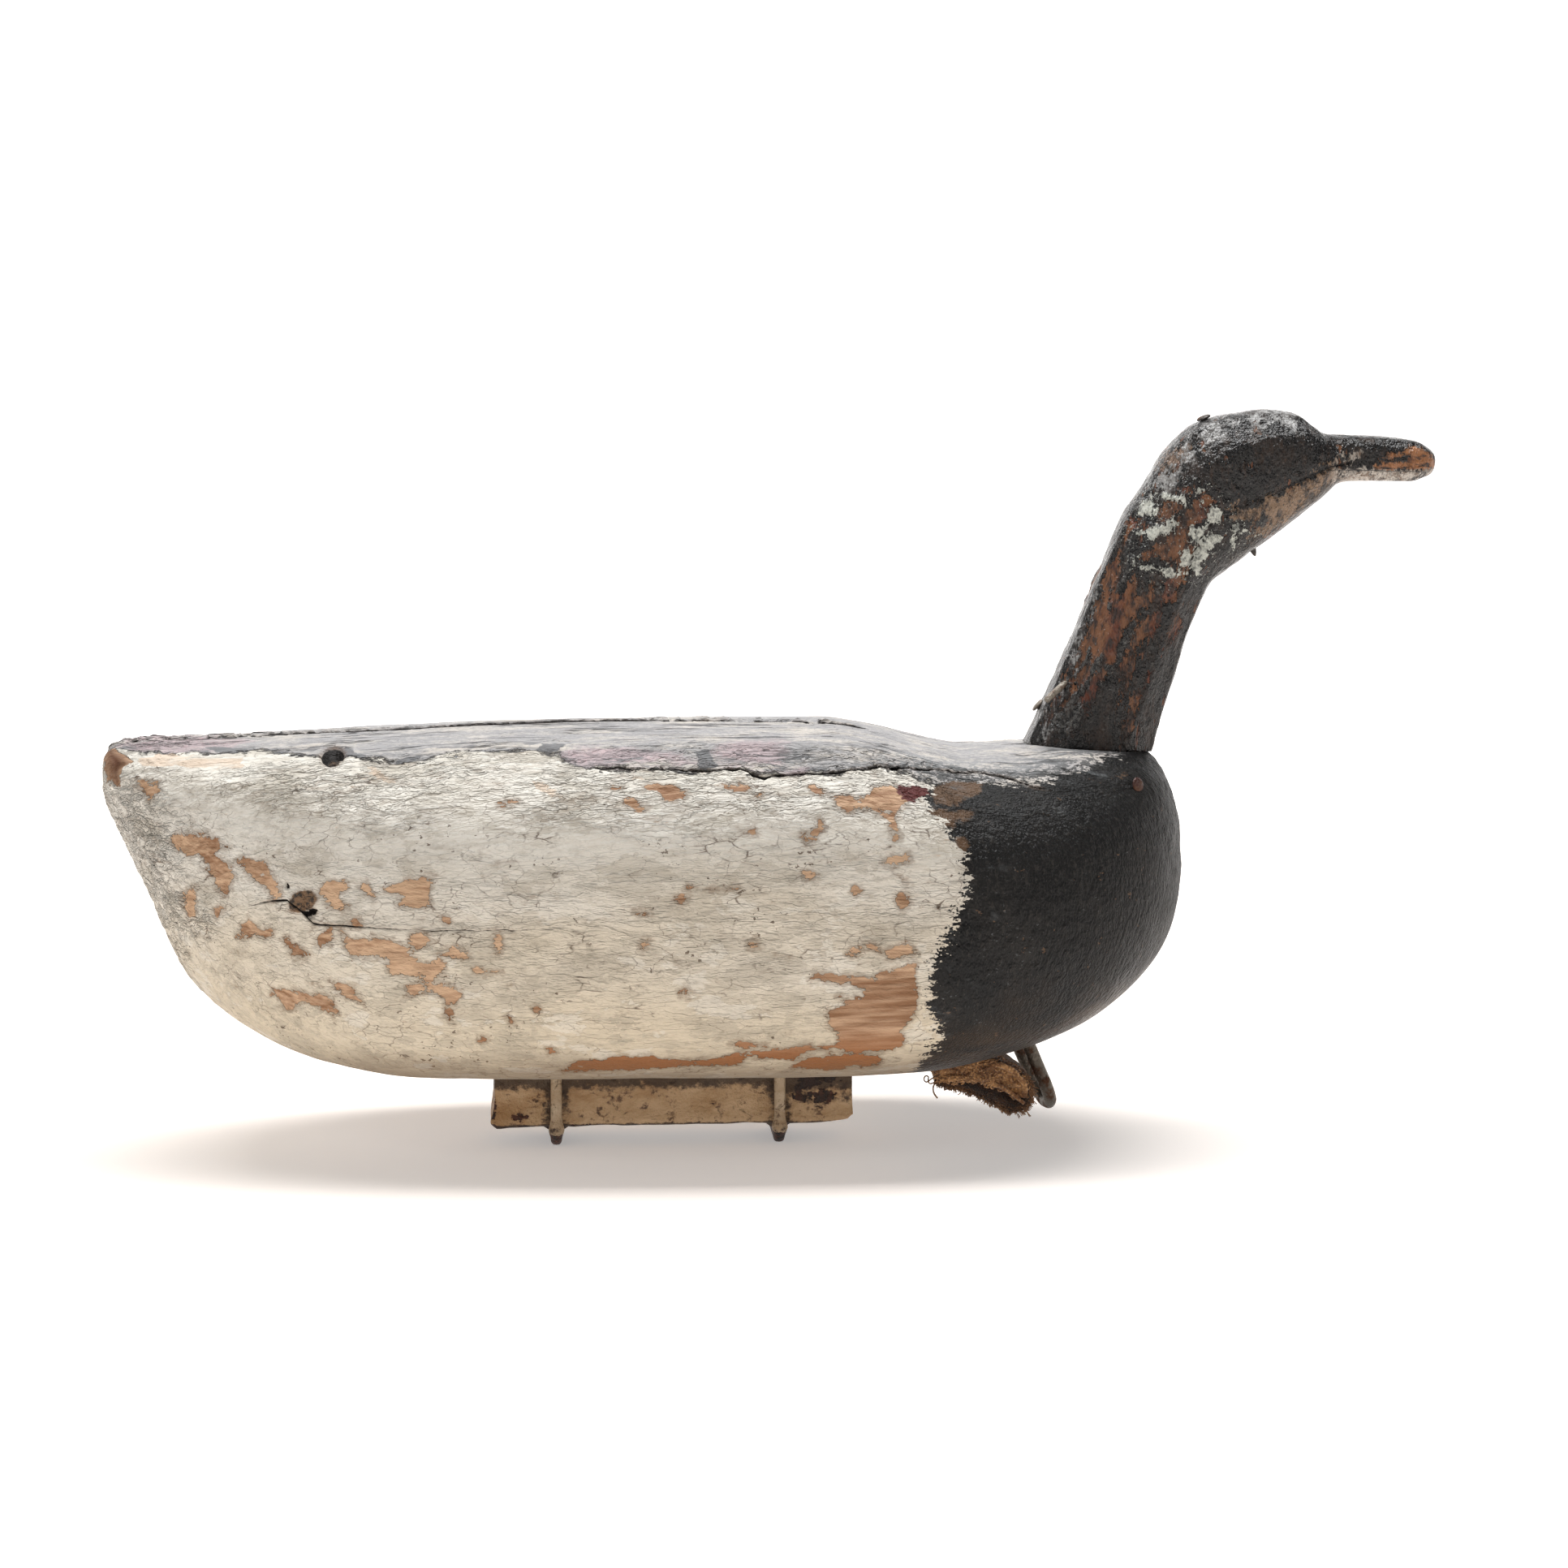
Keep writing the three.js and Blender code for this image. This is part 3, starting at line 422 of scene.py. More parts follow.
def rough_lumps(points: Array, size: float, seed: int, octaves: int = 3) -> Array:
    """Random values with finer and finer detail.

    Args:
        points: Points in mm, in any array.
        size: Size of the largest lumps, in mm.
        seed: Picks the pattern.
        octaves: How many finer layers are added.

    Returns:
        Values from about -1 to 1.
    """
    layers = [lumps(points, size / 2**k, seed + 17 * k) / 1.8**k for k in range(octaves)]
    return np.sum(layers, axis=0) / 1.3


def signed_distance(places: Array, outlines: Sequence[Array], reach: float) -> Array:
    """Distance to the nearest outline, negative inside it.

    Args:
        places: Places in the plane, in any array.
        outlines: Closed outlines.
        reach: The value far from every outline.

    Returns:
        One distance for each place, in mm.
    """
    points = places.reshape(-1, 2)
    nearest = np.full(len(points), reach)
    for start in outlines:
        run = np.roll(start, -1, axis=0) - start
        low, high = start.min(0) - reach, start.max(0) + reach
        chosen = np.flatnonzero(((points >= low) & (points <= high)).all(1))
        if not chosen.size:
            continue
        here = points[chosen][:, None]
        length = np.maximum((run * run).sum(-1), 1e-9)
        share = np.clip(((here - start) * run).sum(-1) / length, 0, 1)
        gap = np.linalg.norm(here - (start + share[..., None] * run), axis=-1).min(1)
        level = here[..., 1]
        spans = (start[:, 1] <= level) != (start[:, 1] + run[:, 1] <= level)
        rise = np.where(run[:, 1] == 0, 1.0, run[:, 1])
        crossing = start[:, 0] + run[:, 0] * (level - start[:, 1]) / rise
        inside = (spans & (here[..., 0] < crossing)).sum(1) % 2 == 1
        nearest[chosen] = np.minimum(nearest[chosen], np.where(inside, -gap, gap))
    return nearest.reshape(places.shape[:-1])


def patches(rows: Table) -> list[Array]:
    """Outlines in mm from rows of pairs of numbers in half millimetres."""
    return [np.reshape(row, (-1, 2)) / 2 for row in rows]


def table_rows(table: Table, index: Array) -> Array:
    """Rows of a table at fractional indices, curved between its rows but never past them.

    Args:
        table: The part's table of stations.
        index: Fractional row numbers.

    Returns:
        One interpolated row for each index.
    """
    rows = np.asarray(table, float)
    padded = np.vstack([2 * rows[0] - rows[1], rows, 2 * rows[-1] - rows[-2]])
    whole = np.clip(np.floor(index).astype(int), 0, len(rows) - 2)
    t = (index - whole)[:, None]
    before, start, end, after = (padded[whole + k] for k in range(4))

    def slope(low: Array, here: Array, high: Array) -> Array:
        """Slope at a row that never swings past its neighbours."""
        rise, following = here - low, high - here
        both = np.where(rise + following == 0, 1.0, rise + following)
        return np.where(rise * following <= 0, 0.0, 2 * rise * following / both)

    first, last = slope(before, start, end), slope(start, end, after)
    step = t * t * (3 - 2 * t)
    return start + (end - start) * step + first * t * (1 - t) ** 2 - last * t * t * (1 - t)


def travelled(path: Array) -> Array:
    """Distance run along a path at each of its points."""
    return np.r_[0.0, np.cumsum(np.linalg.norm(np.diff(path, axis=0), axis=1))]


def read_path(path: Array, run: Array, at: Array) -> Array:
    """Points of a path at chosen runs along it.

    Args:
        path: The path's points.
        run: The run at each of them.
        at: The runs to read.

    Returns:
        One point for each.
    """
    return np.stack([np.interp(at, run, column) for column in path.T], 1)


def even_indices(table: Table, count: int, weights: Sequence[float]) -> Array:
    """Fractional indices that step evenly over a table, measured along its columns.

    Args:
        table: The part's table of stations.
        count: How many indices.
        weights: How much each column's change counts towards the distance.

    Returns:
        The indices, from the first row to the last.
    """
    fine = np.linspace(0, len(table) - 1, 4001)
    run = travelled(table_rows(table, fine) * np.asarray(weights))
    return np.interp(np.linspace(0, run[-1], count), run, fine)


def grid_normals(grid: Array) -> Array:
    """Outward directions over a grid of points that closes round its second axis.

    Args:
        grid: Points as stations by places round the ring.

    Returns:
        A unit direction for each point.
    """
    along = np.gradient(grid, axis=0)
    around = np.roll(grid, -1, axis=1) - np.roll(grid, 1, axis=1)
    normal = np.cross(along, around)
    normal /= np.linalg.norm(normal, axis=-1, keepdims=True) + 1e-9
    outward = grid - grid.mean(axis=1, keepdims=True)
    return normal if (normal * outward).sum() > 0 else -normal


# Meshes


def turns_round(count: int) -> Array:
    """Angles stepped evenly once round."""
    return np.arange(count) / count * 2 * math.pi


def turned(profile: Iterable[tuple[float, float]], count: int) -> Array:
    """Rings of a turned shape about the Z axis.

    Args:
        profile: Radius and height of each ring.
        count: Points round each ring.

    Returns:
        The rings.
    """
    turns = turns_round(count)
    return np.array([[(r * math.cos(a), r * math.sin(a), z) for a in turns] for r, z in profile])


def shrunk(ring: Array, share: float) -> Array:
    """A ring drawn towards its middle, all of the way at 1."""
    return ring + (ring.mean(0) - ring) * share


@dataclass
class Shell:
    """A skin of quads over rings of points, with numbers carried on its points."""

    rings: Array
    notes: dict[str, Array] = field(default_factory=dict)
    caps: bool = True

    def points(self) -> Array:
        """All points in mm, the two cap centres last."""
        flat = self.rings.reshape(-1, 3)
        if not self.caps:
            return flat
        return np.vstack([flat, self.rings[0].mean(0), self.rings[-1].mean(0)])

    def faces(self) -> list[tuple[int, ...]]:
        """Corners of every face, with fans of triangles over the two ends.

        Returns:
            Corner numbers of each face.
        """
        stations, around = self.rings.shape[:2]
        here = np.arange(stations * around).reshape(stations, around)
        beside = np.roll(here, -1, axis=1)
        quads = np.stack([here[:-1], beside[:-1], beside[1:], here[1:]], -1).reshape(-1, 4)
        faces = [tuple(quad) for quad in quads.tolist()]
        if self.caps:
            first, last = stations * around, stations * around + 1
            faces += [(first, b, a) for a, b in zip(here[0].tolist(), beside[0].tolist())]
            faces += [(last, a, b) for a, b in zip(here[-1].tolist(), beside[-1].tolist())]
        return faces

    def build(self, name: str) -> Piece:
        """Make the mesh object, its faces turned outwards.

        Args:
            name: The piece's name.

        Returns:
            The new object, linked to the scene.
        """
        notes = dict(self.notes)
        if self.caps:
            for key, ring in notes.items():
                notes[key] = np.r_[ring.reshape(-1), ring[0].mean(), ring[-1].mean()]
        return make_object(name, self.points(), self.faces(), notes)


def enclosed(points: Array, faces: Sequence[tuple[int, ...]]) -> float:
    """Signed volume inside a closed mesh; negative if its faces point inwards.

    Args:
        points: The mesh's points.
        faces: Corner numbers of each face.

    Returns:
        The volume in cubic mm.
    """
    corners = [(f[0], f[k], f[k + 1]) for f in faces for k in range(1, len(f) - 1)]
    a, b, c = (points[[corner[k] for corner in corners]] for k in range(3))
    return float((a * np.cross(b, c)).sum() / 6)


def make_object(
    name: str,
    points: Array,
    faces: Sequence[tuple[int, ...]],
    notes: dict[str, Array] | None = None,
) -> Piece:
    """Make a smooth mesh object from points in mm.

    Args:
        name: The piece's name.
        points: Points in mm.
        faces: Corner numbers of each face.
        notes: Numbers carried on the points, by name.

    Returns:
        The new object, linked to the scene.
    """
    if enclosed(points - points.mean(0), faces) < 0:
        faces = [tuple(reversed(face)) for face in faces]
    mesh = bpy.data.meshes.new(name)
    mesh.from_pydata((points * MM).tolist(), [], faces)
    mesh.polygons.foreach_set("use_smooth", [True] * len(mesh.polygons))
    for key, values in (notes or {}).items():
        layer = mesh.attributes.new(key, "FLOAT", "POINT")
        layer.data.foreach_set("value", np.asarray(values, np.float32).reshape(-1))
    mesh.update()
    return linked(name, mesh)


def linked(name: str, data: bpy.types.ID) -> Piece:
    """A new object that carries some data, linked to the scene."""
    made = bpy.data.objects.new(name, data)
    bpy.context.scene.collection.objects.link(made)
    return made


def dress(made: Piece, material: Material, node: str = "") -> Piece:
    """Give a piece its material and its place in the frame.

    Args:
        made: The piece's object.
        material: Its finish.
        node: The node that it stands for, if any.

    Returns:
        The piece's object.
    """
    made.data.materials.append(material)
    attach(made, "root")
    if node:
        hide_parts(node)
    return made


def swept(path: Array, radius: float, sides: int) -> Array:
    """Rings of a round rod along a path, without twist.

    Args:
        path: Points of its middle line in mm.
        radius: Its radius in mm.
        sides: Points round each ring.

    Returns:
        The rings, one for each point of the path.
    """
    tangent = np.gradient(path, axis=0)
    tangent /= np.linalg.norm(tangent, axis=1, keepdims=True)
    helper = np.array([1.0, 0, 0]) if abs(tangent[0][0]) < 0.9 else np.array([0, 1.0, 0])
    side = np.cross(tangent[0], helper)
    turns = turns_round(sides)[:, None]
    rings = []
    for point, heading in zip(path, tangent):
        side = side - heading * (side @ heading)
        side /= np.linalg.norm(side)
        offset = np.cos(turns) * side + np.sin(turns) * np.cross(heading, side)
        rings.append(point + offset * radius)
    return np.array(rings)


def smooth_path(corners: Table, spacing: float) -> Array:
    """A curve through points, stepped evenly.

    Args:
        corners: Points that the curve passes through, in mm.
        spacing: Distance between steps, in mm.

    Returns:
        Points along the curve.
    """
    corners = np.asarray(corners, float)
    ends = np.vstack([2 * corners[0] - corners[1], corners, 2 * corners[-1] - corners[-2]])
    pieces = []
    t = np.linspace(0, 1, 24, endpoint=False)[:, None]
    for k in range(len(corners) - 1):
        a, b, c, d = ends[k : k + 4]
        curve = 2 * b + (c - a) * t + (2 * a - 5 * b + 4 * c - d) * t**2
        pieces.append((curve + (3 * b - a - 3 * c + d) * t**3) / 2)
    fine = np.vstack([*pieces, corners[-1:]])
    run = travelled(fine)
    count = max(2, int(round(run[-1] / spacing)) + 1)
    return read_path(fine, run, np.linspace(0, run[-1], count))


def upright(line: Outline, y: float) -> Array:
    """Corners of a line drawn in the XZ plane, at a place across it."""
    return np.array([(x, y, z) for x, z in line], float)


def hooked(reach: float, bend: float, low: float, steps: int) -> list[tuple[float, float]]:
    """One rounded lower corner of a staple.

    Args:
        reach: Half the staple's span.
        bend: Radius of the corner.
        low: Height of the crown's middle line.
        steps: Points round the corner.

    Returns:
        Points as (y, z), from the leg to the crown.
    """
    turns = np.linspace(0, math.pi / 2, steps)
    return [(reach - bend + bend * math.cos(a), low + bend * (1 - math.sin(a))) for a in turns]


# Materials


class CellMeasure(Enum):
    """What a pattern of cells is measured by."""

    TO_EDGE = "DISTANCE_TO_EDGE"
    TO_MIDDLE = "F1"


class Graph:
    """A material's nodes, laid down one call at a time. Lengths are in mm."""

    def __init__(self, name: str) -> None:
        """Start an empty material of that name."""
        self.material = bpy.data.materials.new(name)
        self.material.use_nodes = True
        self.tree = self.material.node_tree
        self.tree.nodes.clear()
        self.coordinates = self.new("TexCoord").outputs["Object"]

    def new(self, kind: str, *values: Input, **settings: str) -> bpy.types.ShaderNode:
        """Add a node.

        Args:
            kind: Its type, without the word that all shader nodes begin with.
            *values: What its first sockets take.
            **settings: Its options.

        Returns:
            The node.
        """
        node = self.tree.nodes.new(f"ShaderNode{kind}")
        for key, value in settings.items():
            setattr(node, key, value)
        for socket, value in zip(node.inputs, values):
            self.feed(socket, value)
        return node

    def feed(self, socket: Socket, value: Input) -> None:
        """Link an output to a socket, or set the socket's own value."""
        if isinstance(value, bpy.types.NodeSocket):
            self.tree.links.new(value, socket)
        else:
            socket.default_value = value

    def math(self, kind: str, first: Input, second: Input = 0.0) -> Socket:
        """Reckon with one or two numbers, by Blender's name for the operation."""
        return self.new("Math", first, second, operation=kind).outputs[0]

    def all(self, kind: str, terms: Sequence[Input]) -> Socket:
        """Reckon through several numbers in turn."""
        return functools.reduce(lambda total, term: self.math(kind, total, term), terms)

    def add(self, *terms: Input) -> Socket:
        """Sum of several numbers or outputs."""
        return self.all("ADD", terms)

    def times(self, *terms: Input) -> Socket:
        """Product of several numbers or outputs."""
        return self.all("MULTIPLY", terms)

    def most(self, *terms: Input) -> Socket:
        """The largest of several numbers or outputs."""
        return self.all("MAXIMUM", terms)

    def rest(self, share: Input) -> Socket:
        """What a share leaves of one."""
        return self.math("SUBTRACT", 1.0, share)

    def fold(self, value: Input) -> Socket:
        """A number without its sign, which makes creases where it crosses zero."""
        return self.math("ABSOLUTE", value)

    def note(self, name: str) -> Socket:
        """A number carried on the mesh's points."""
        return self.new("Attribute", attribute_name=name).outputs["Fac"]

    def axes(self) -> bpy.types.NodeOutputs:
        """The point's X, Y and Z in mm."""
        return self.new("SeparateXYZ", self.place()).outputs

    def place(self, stretch: Triple | float = 1.0, offset: float = 0.0) -> Socket:
        """The point in mm, each axis divided by its stretch.

        Args:
            stretch: How much longer features run along each axis, or along X alone.
            offset: Moves the pattern, so that two layers differ.

        Returns:
            The point's output.
        """
        node = self.new("Mapping", self.coordinates)
        if not isinstance(stretch, tuple):
            stretch = (stretch, 1.0, 1.0)
        node.inputs["Scale"].default_value = tuple(1 / (MM * s) for s in stretch)
        node.inputs["Location"].default_value = (offset, offset * 1.7, -offset * 0.6)
        return node.outputs[0]

    def bent(self, place: Socket, size: float, reach: float, detail: float = 1.0) -> Socket:
        """A point pushed about by noise, so that a pattern's lines wander.

        Args:
            place: The point to push.
            size: Size of the wandering, in mm.
            reach: How far it pushes, in mm.
            detail: Octaves of the noise.

        Returns:
            The pushed point's output.
        """
        noise = self.noise_node(size, detail, 0.5, place).outputs["Color"]
        centred = self.new("VectorMath", noise, (0.5,) * 3, operation="SUBTRACT").outputs[0]
        pushed = (2 * reach,) * 3
        return self.new("VectorMath", centred, pushed, place, operation="MULTIPLY_ADD").outputs[0]

    def noise_node(
        self, size: float, detail: float, rough: float, place: Socket
    ) -> bpy.types.ShaderNode:
        """A noise node whose features are about size mm."""
        node = self.new("TexNoise", place)
        node.inputs["Scale"].default_value = 1 / size
        # Octaves finer than about half a millimetre would not show
        node.inputs["Detail"].default_value = min(detail, max(1.0, math.log2(size / 0.45)))
        node.inputs["Roughness"].default_value = rough
        return node

    def noise(
        self,
        size: float,
        detail: float,
        rough: float,
        stretch: Triple | float = 1.0,
        offset: float = 0.0,
        at: Socket | None = None,
    ) -> Socket:
        """Noise centred on zero, mostly within half a unit.

        Args:
            size: Size of its features, in mm.
            detail: Octaves.
            rough: Strength of the finer octaves.
            stretch: How much longer features run along each axis, or along X alone.
            offset: Moves the pattern.
            at: The point, instead of those two.

        Returns:
            The value's output.
        """
        node = self.noise_node(size, detail, rough, at or self.place(stretch, offset))
        return self.times(self.math("SUBTRACT", node.outputs["Fac"], 0.5), 2.0)

    def cells(
        self, size: float, place: Socket, measure: CellMeasure = CellMeasure.TO_EDGE
    ) -> Socket:
        """Distance in a pattern of cells, as a share of their size.

        Args:
            size: Size of the cells, in mm.
            place: The point.
            measure: What the distance is measured to.

        Returns:
            The distance's output.
        """
        node = self.new("TexVoronoi", place, feature=measure.value)
        node.inputs["Scale"].default_value = 1 / size
        return node.outputs["Distance"]

    def rise(self, value: Input, low: Input, high: Input) -> Socket:
        """Rise smoothly from 0 at low to 1 at high; falls if low is above high.

        Args:
            value: The value to map.
            low: Where the result is 0.
            high: Where the result is 1.

        Returns:
            The result's output.
        """
        node = self.new("MapRange", value, low, high, interpolation_type="SMOOTHSTEP")
        return node.outputs[0]

    def inside(self, name: str, wander: Input, edge: float, beyond: float | None = None) -> Socket:
        """Cover a patch that is carried on the mesh as a distance to its outline.

        Args:
            name: The distance's name.
            wander: What roughens the outline, in mm.
            edge: Distance at which the cover starts.
            beyond: Distance at which it is full, as far inside if it isn't given.

        Returns:
            The cover's output, from 0 to 1.
        """
        distance = self.add(self.note(name), wander)
        return self.rise(distance, edge, -edge if beyond is None else beyond)

    def mix(self, share: Input, first: Input, second: Input) -> Socket:
        """Blend two colours, by how much of the second."""
        node = self.new("Mix", data_type="RGBA")
        for index, value in zip((0, 6, 7), (share, first, second)):
            self.feed(node.inputs[index], value)
        return node.outputs[2]

    def lay(self, under: Input, over: Input, *shares: Input) -> Socket:
        """Lay one colour over another, as thick as all the shares allow."""
        return self.mix(self.times(*shares), under, over)

    def blend(self, share: Input, first: Input, second: Input) -> Socket:
        """Blend two numbers, by how much of the second."""
        node = self.new("Mix", data_type="FLOAT")
        for index, value in zip((0, 2, 3), (share, first, second)):
            self.feed(node.inputs[index], value)
        return node.outputs[0]

    def finish(
        self, colour: Socket, roughness: Input, height: Socket | None, **settings: Input
    ) -> Material:
        """Close the material with its surface shader.

        Args:
            colour: The surface's colour.
            roughness: A number or an output.
            height: Relief in mm, or None.
            **settings: Values of the shader's other sockets, underscores for spaces.

        Returns:
            The finished material.
        """
        shader = self.new("BsdfPrincipled", colour)
        self.new("OutputMaterial", shader.outputs[0])
        self.feed(shader.inputs["Roughness"], roughness)
        for key, value in settings.items():
            self.feed(shader.inputs[key.replace("_", " ")], value)
        if height is not None:
            bump = self.new("Bump")
            bump.inputs["Distance"].default_value = MM
            self.feed(bump.inputs["Height"], height)
            self.feed(shader.inputs["Normal"], bump.outputs[0])
        return self.material


@dataclass(frozen=True)
class WoodGrain:
    """Bare wood: long fine streaks, pale where it is fresh and dark where it is old."""

    fresh: Rgba = linear(203, 170, 139)
    dark: Rgba = linear(136, 99, 71)
    streak: float = 1.5
    run: Triple = (22, 1.6, 1.6)

    def colour(self, g: Graph) -> tuple[Socket, Socket]:
        """Lay the wood's colour and relief.

        Args:
            g: The material being made.

        Returns:
            The colour's output and the relief's output.
        """
        streaks = g.noise(self.streak, 4, 0.6, self.run, 31.0)
        broad = g.noise(16, 3, 0.55, self.run, 11.0)
        tone = g.rise(g.add(g.times(streaks, 0.8), g.times(broad, 1.1)), -0.5, 0.6)
        return g.mix(tone, self.fresh, self.dark), g.times(streaks, -0.1)


@dataclass(frozen=True)
class BodyPaint:
    """Layers of old paint over wood: off-white flanks, a grey back and a black breast."""

    upper: Rgba = linear(217, 213, 204)
    lower: Rgba = linear(212, 199, 176)
    dull: Rgba = linear(158, 149, 133)
    smudge: Rgba = linear(132, 129, 120)
    soil: Rgba = linear(112, 84, 58)
    crack: Rgba = linear(74, 54, 38)
    fresh_coat: Rgba = linear(228, 224, 214)
    # Brown laid on the lower flank as dirt and painted shade, and low on the breast as a stain
    primer: Rgba = linear(204, 182, 160)
    foot: Rgba = linear(104, 80, 56)
    tip_wood: Rgba = linear(84, 52, 34)
    foot_wood: Rgba = linear(150, 98, 60)
    grey: Rgba = linear(163, 160, 160)
    cream: Rgba = linear(196, 189, 180)
    mauve: Rgba = linear(184, 160, 163)
    old_grey: Rgba = linear(112, 111, 112)
    black: Rgba = linear(19, 19, 19)
    worn_black: Rgba = linear(54, 51, 48)
    wine: Rgba = linear(88, 40, 38)
    brown: Rgba = linear(104, 80, 60)
    # Bluish grey for scratches, and for dust with a painted sheen on the shelf and the breast's top
    worn_grey_and_sheen: Rgba = linear(118, 122, 124)
    gap: Rgba = linear(20, 15, 12)
    relief: float = 1.7
    plates: float = 6.0

    def crackle(self, g: Graph) -> Socket:
        """Distance in mm to the edges of broken plates of paint."""
        loose = g.bent(g.place(2.4, 2.0), self.plates * 1.1, self.plates * 0.42)
        loose = g.bent(loose, self.plates * 0.3, self.plates * 0.1)
        return g.times(g.cells(self.plates, loose), self.plates)

    def make(self) -> Material:
        """Make the material for the body block.

        Returns:
            The finished material.
        """
        g = Graph("worn_body_paint")
        ragged = g.add(
            g.times(g.noise(8, 5, 0.66, 1.5, 1.0), 6.0),
            g.times(g.noise(1.5, 3, 0.65, 1.8, 3.0), 1.8),
        )
        forward, _, height = g.axes()
        wood, wood_relief = WoodGrain().colour(g)
        wood = g.mix(g.rise(g.note("tip"), 4.0, -6.0), wood, self.tip_wood)
        # Bare wood darker and redder low down, partly as painted shade along the bottom
        wood = g.mix(g.rise(height, 82, 58), wood, self.foot_wood)

        # Off-white paint, yellower below, with dull and smudged places
        level = g.add(height, g.times(g.noise(60, 3, 0.6, 2.8, 5.0), 55))
        white = g.mix(g.rise(level, 60, 185), self.lower, self.upper)
        dull = g.noise(34, 6, 0.68, 1.7, 140.0)
        blotch = g.noise(15, 6, 0.68, 2.6, 40.0)
        stain = g.noise(8, 6, 0.7, 2.2, 71.0)
        brush = g.noise(2.4, 5, 0.62, (9, 1, 1.4), 77.0)
        for soiling, start, full, over, share in (
            (dull, -0.1, 0.5, self.dull, 0.64),
            (blotch, 0.14, 0.5, self.smudge, 0.5),
            (stain, 0.14, 0.6, self.soil, 0.62),
            (brush, -0.1, 0.5, self.dull, 0.34),
        ):
            white = g.lay(white, over, g.rise(soiling, start, full), share)
        grime = g.rise(g.noise(1.5, 4, 0.7, 1.7, 8.0), 0.22, 0.42)
        grimy = g.rise(g.noise(20, 4, 0.65, 1.6, 320.0), 0.02, 0.4)
        white = g.lay(white, self.crack, grime, grimy, 0.4)
        # Coats that broke off in steps
        coats = g.noise(17, 6, 0.64, at=g.bent(g.place(2.1, 300.0), 6, 2.4))
        white = g.lay(white, self.fresh_coat, g.rise(coats, 0.16, 0.18), 0.35)
        white = g.lay(white, self.dull, g.rise(coats, -0.1, -0.12), 0.3)
        rims = g.most(
            g.times(g.rise(coats, 0.12, 0.155), g.rise(coats, 0.18, 0.16)),
            g.times(g.rise(coats, -0.14, -0.12), g.rise(coats, -0.09, -0.11)),
        )
        pale = g.noise(10, 5, 0.66, 3.2, 205.0)
        white = g.lay(white, self.primer, g.rise(pale, 0.38, 0.44), 0.6)

        # Cracks round broken plates, open in places, and hairs that follow none of them
        broken = g.noise(17, 4, 0.65, 1.5, 12.0)
        fine_here = g.noise(23, 3, 0.6, 1.5, 33.0)
        edge = self.crackle(g)
        open_line = g.times(g.rise(edge, 0.3, 0.04), g.rise(broken, 0.1, 0.36))
        fine_line = g.times(g.rise(edge, 0.2, 0.02), g.rise(fine_here, -0.1, 0.3))
        hair = g.fold(g.noise(13, 3, 0.6, at=g.bent(g.place(2.4, 88.0), 4, 1.4)))
        hair = g.times(
            g.rise(hair, 0.02, 0.004), g.rise(broken, 0.2, -0.2), g.rise(dull, -0.1, 0.2)
        )
        lines = g.most(open_line, g.times(fine_line, 0.6), g.times(hair, 0.3))
        white = g.lay(white, self.crack, lines, 0.82)
        white = g.lay(white, self.crack, rims, g.rise(broken, -0.1, 0.35), 0.28)
        pits = g.rise(g.noise(2.2, 2, 0.6, (1.5, 1, 1.2), 610.0), 0.29, 0.35)
        pitted = g.rise(g.noise(16, 3, 0.6, 2, 640.0), 0.0, 0.24)
        white = g.lay(white, self.crack, pits, pitted, 0.8)

        # Wrinkled paint, thickest along the upper flank and at the tail
        fold = g.noise(8.0, 3, 0.6, at=g.bent(g.place(4.0, 60.0), 11, 3.0))
        small_fold = g.noise(3.6, 2, 0.6, at=g.bent(g.place(3.2, 160.0), 5, 1.4))
        crimp = g.add(
            g.rise(g.fold(fold), 0.1, 0.0), g.times(g.rise(g.fold(small_fold), 0.14, 0.0), 0.6)
        )
        # A soil-coloured line beside each wrinkle's ridge: dirt caught there and painted shade on
        # the ridge's lower side
        under = g.times(g.rise(fold, 0.05, 0.11), g.rise(fold, 0.22, 0.12))
        thick = g.add(g.noise(48, 2, 0.6, 2.8, 5.0), g.note("thick"))
        thick = g.rise(thick, 0.0, 0.5)
        white = g.lay(white, self.soil, under, thick, 0.26)

        # The grey back
        mottled = g.noise(12, 6, 0.7, (4, 1.2, 1.2), 17.0)
        back = g.mix(g.rise(mottled, -0.15, 0.4), self.grey, self.cream)
        mauve = g.inside("mauve", g.times(ragged, 1.8), 8.0, -2.5)
        back = g.lay(back, self.mauve, mauve, g.rise(mottled, 0.3, -0.06), 0.72)
        back = g.mix(g.inside("old_grey", ragged, 0.3), back, self.old_grey)
        flake = g.times(g.inside("back", g.times(ragged, 1.4), -26.0, -1.0), 0.9)
        lost = g.add(g.noise(6.5, 5, 0.66, 3.4, 120.0), g.times(flake, 0.36))
        back = g.lay(back, self.old_grey, g.rise(lost, 0.4, 0.45), 0.8)
        back = g.lay(back, self.gap, lines, 0.6)
        split = g.fold(g.noise(7, 3, 0.6, at=g.bent(g.place(11, 210.0), 6, 1.4)))
        split_here = g.rise(g.noise(20, 1, 0.6, 3, 720.0), -0.05, 0.2)
        split = g.times(g.rise(split, 0.06, 0.015), split_here)
        back = g.lay(back, self.gap, split, 0.8)
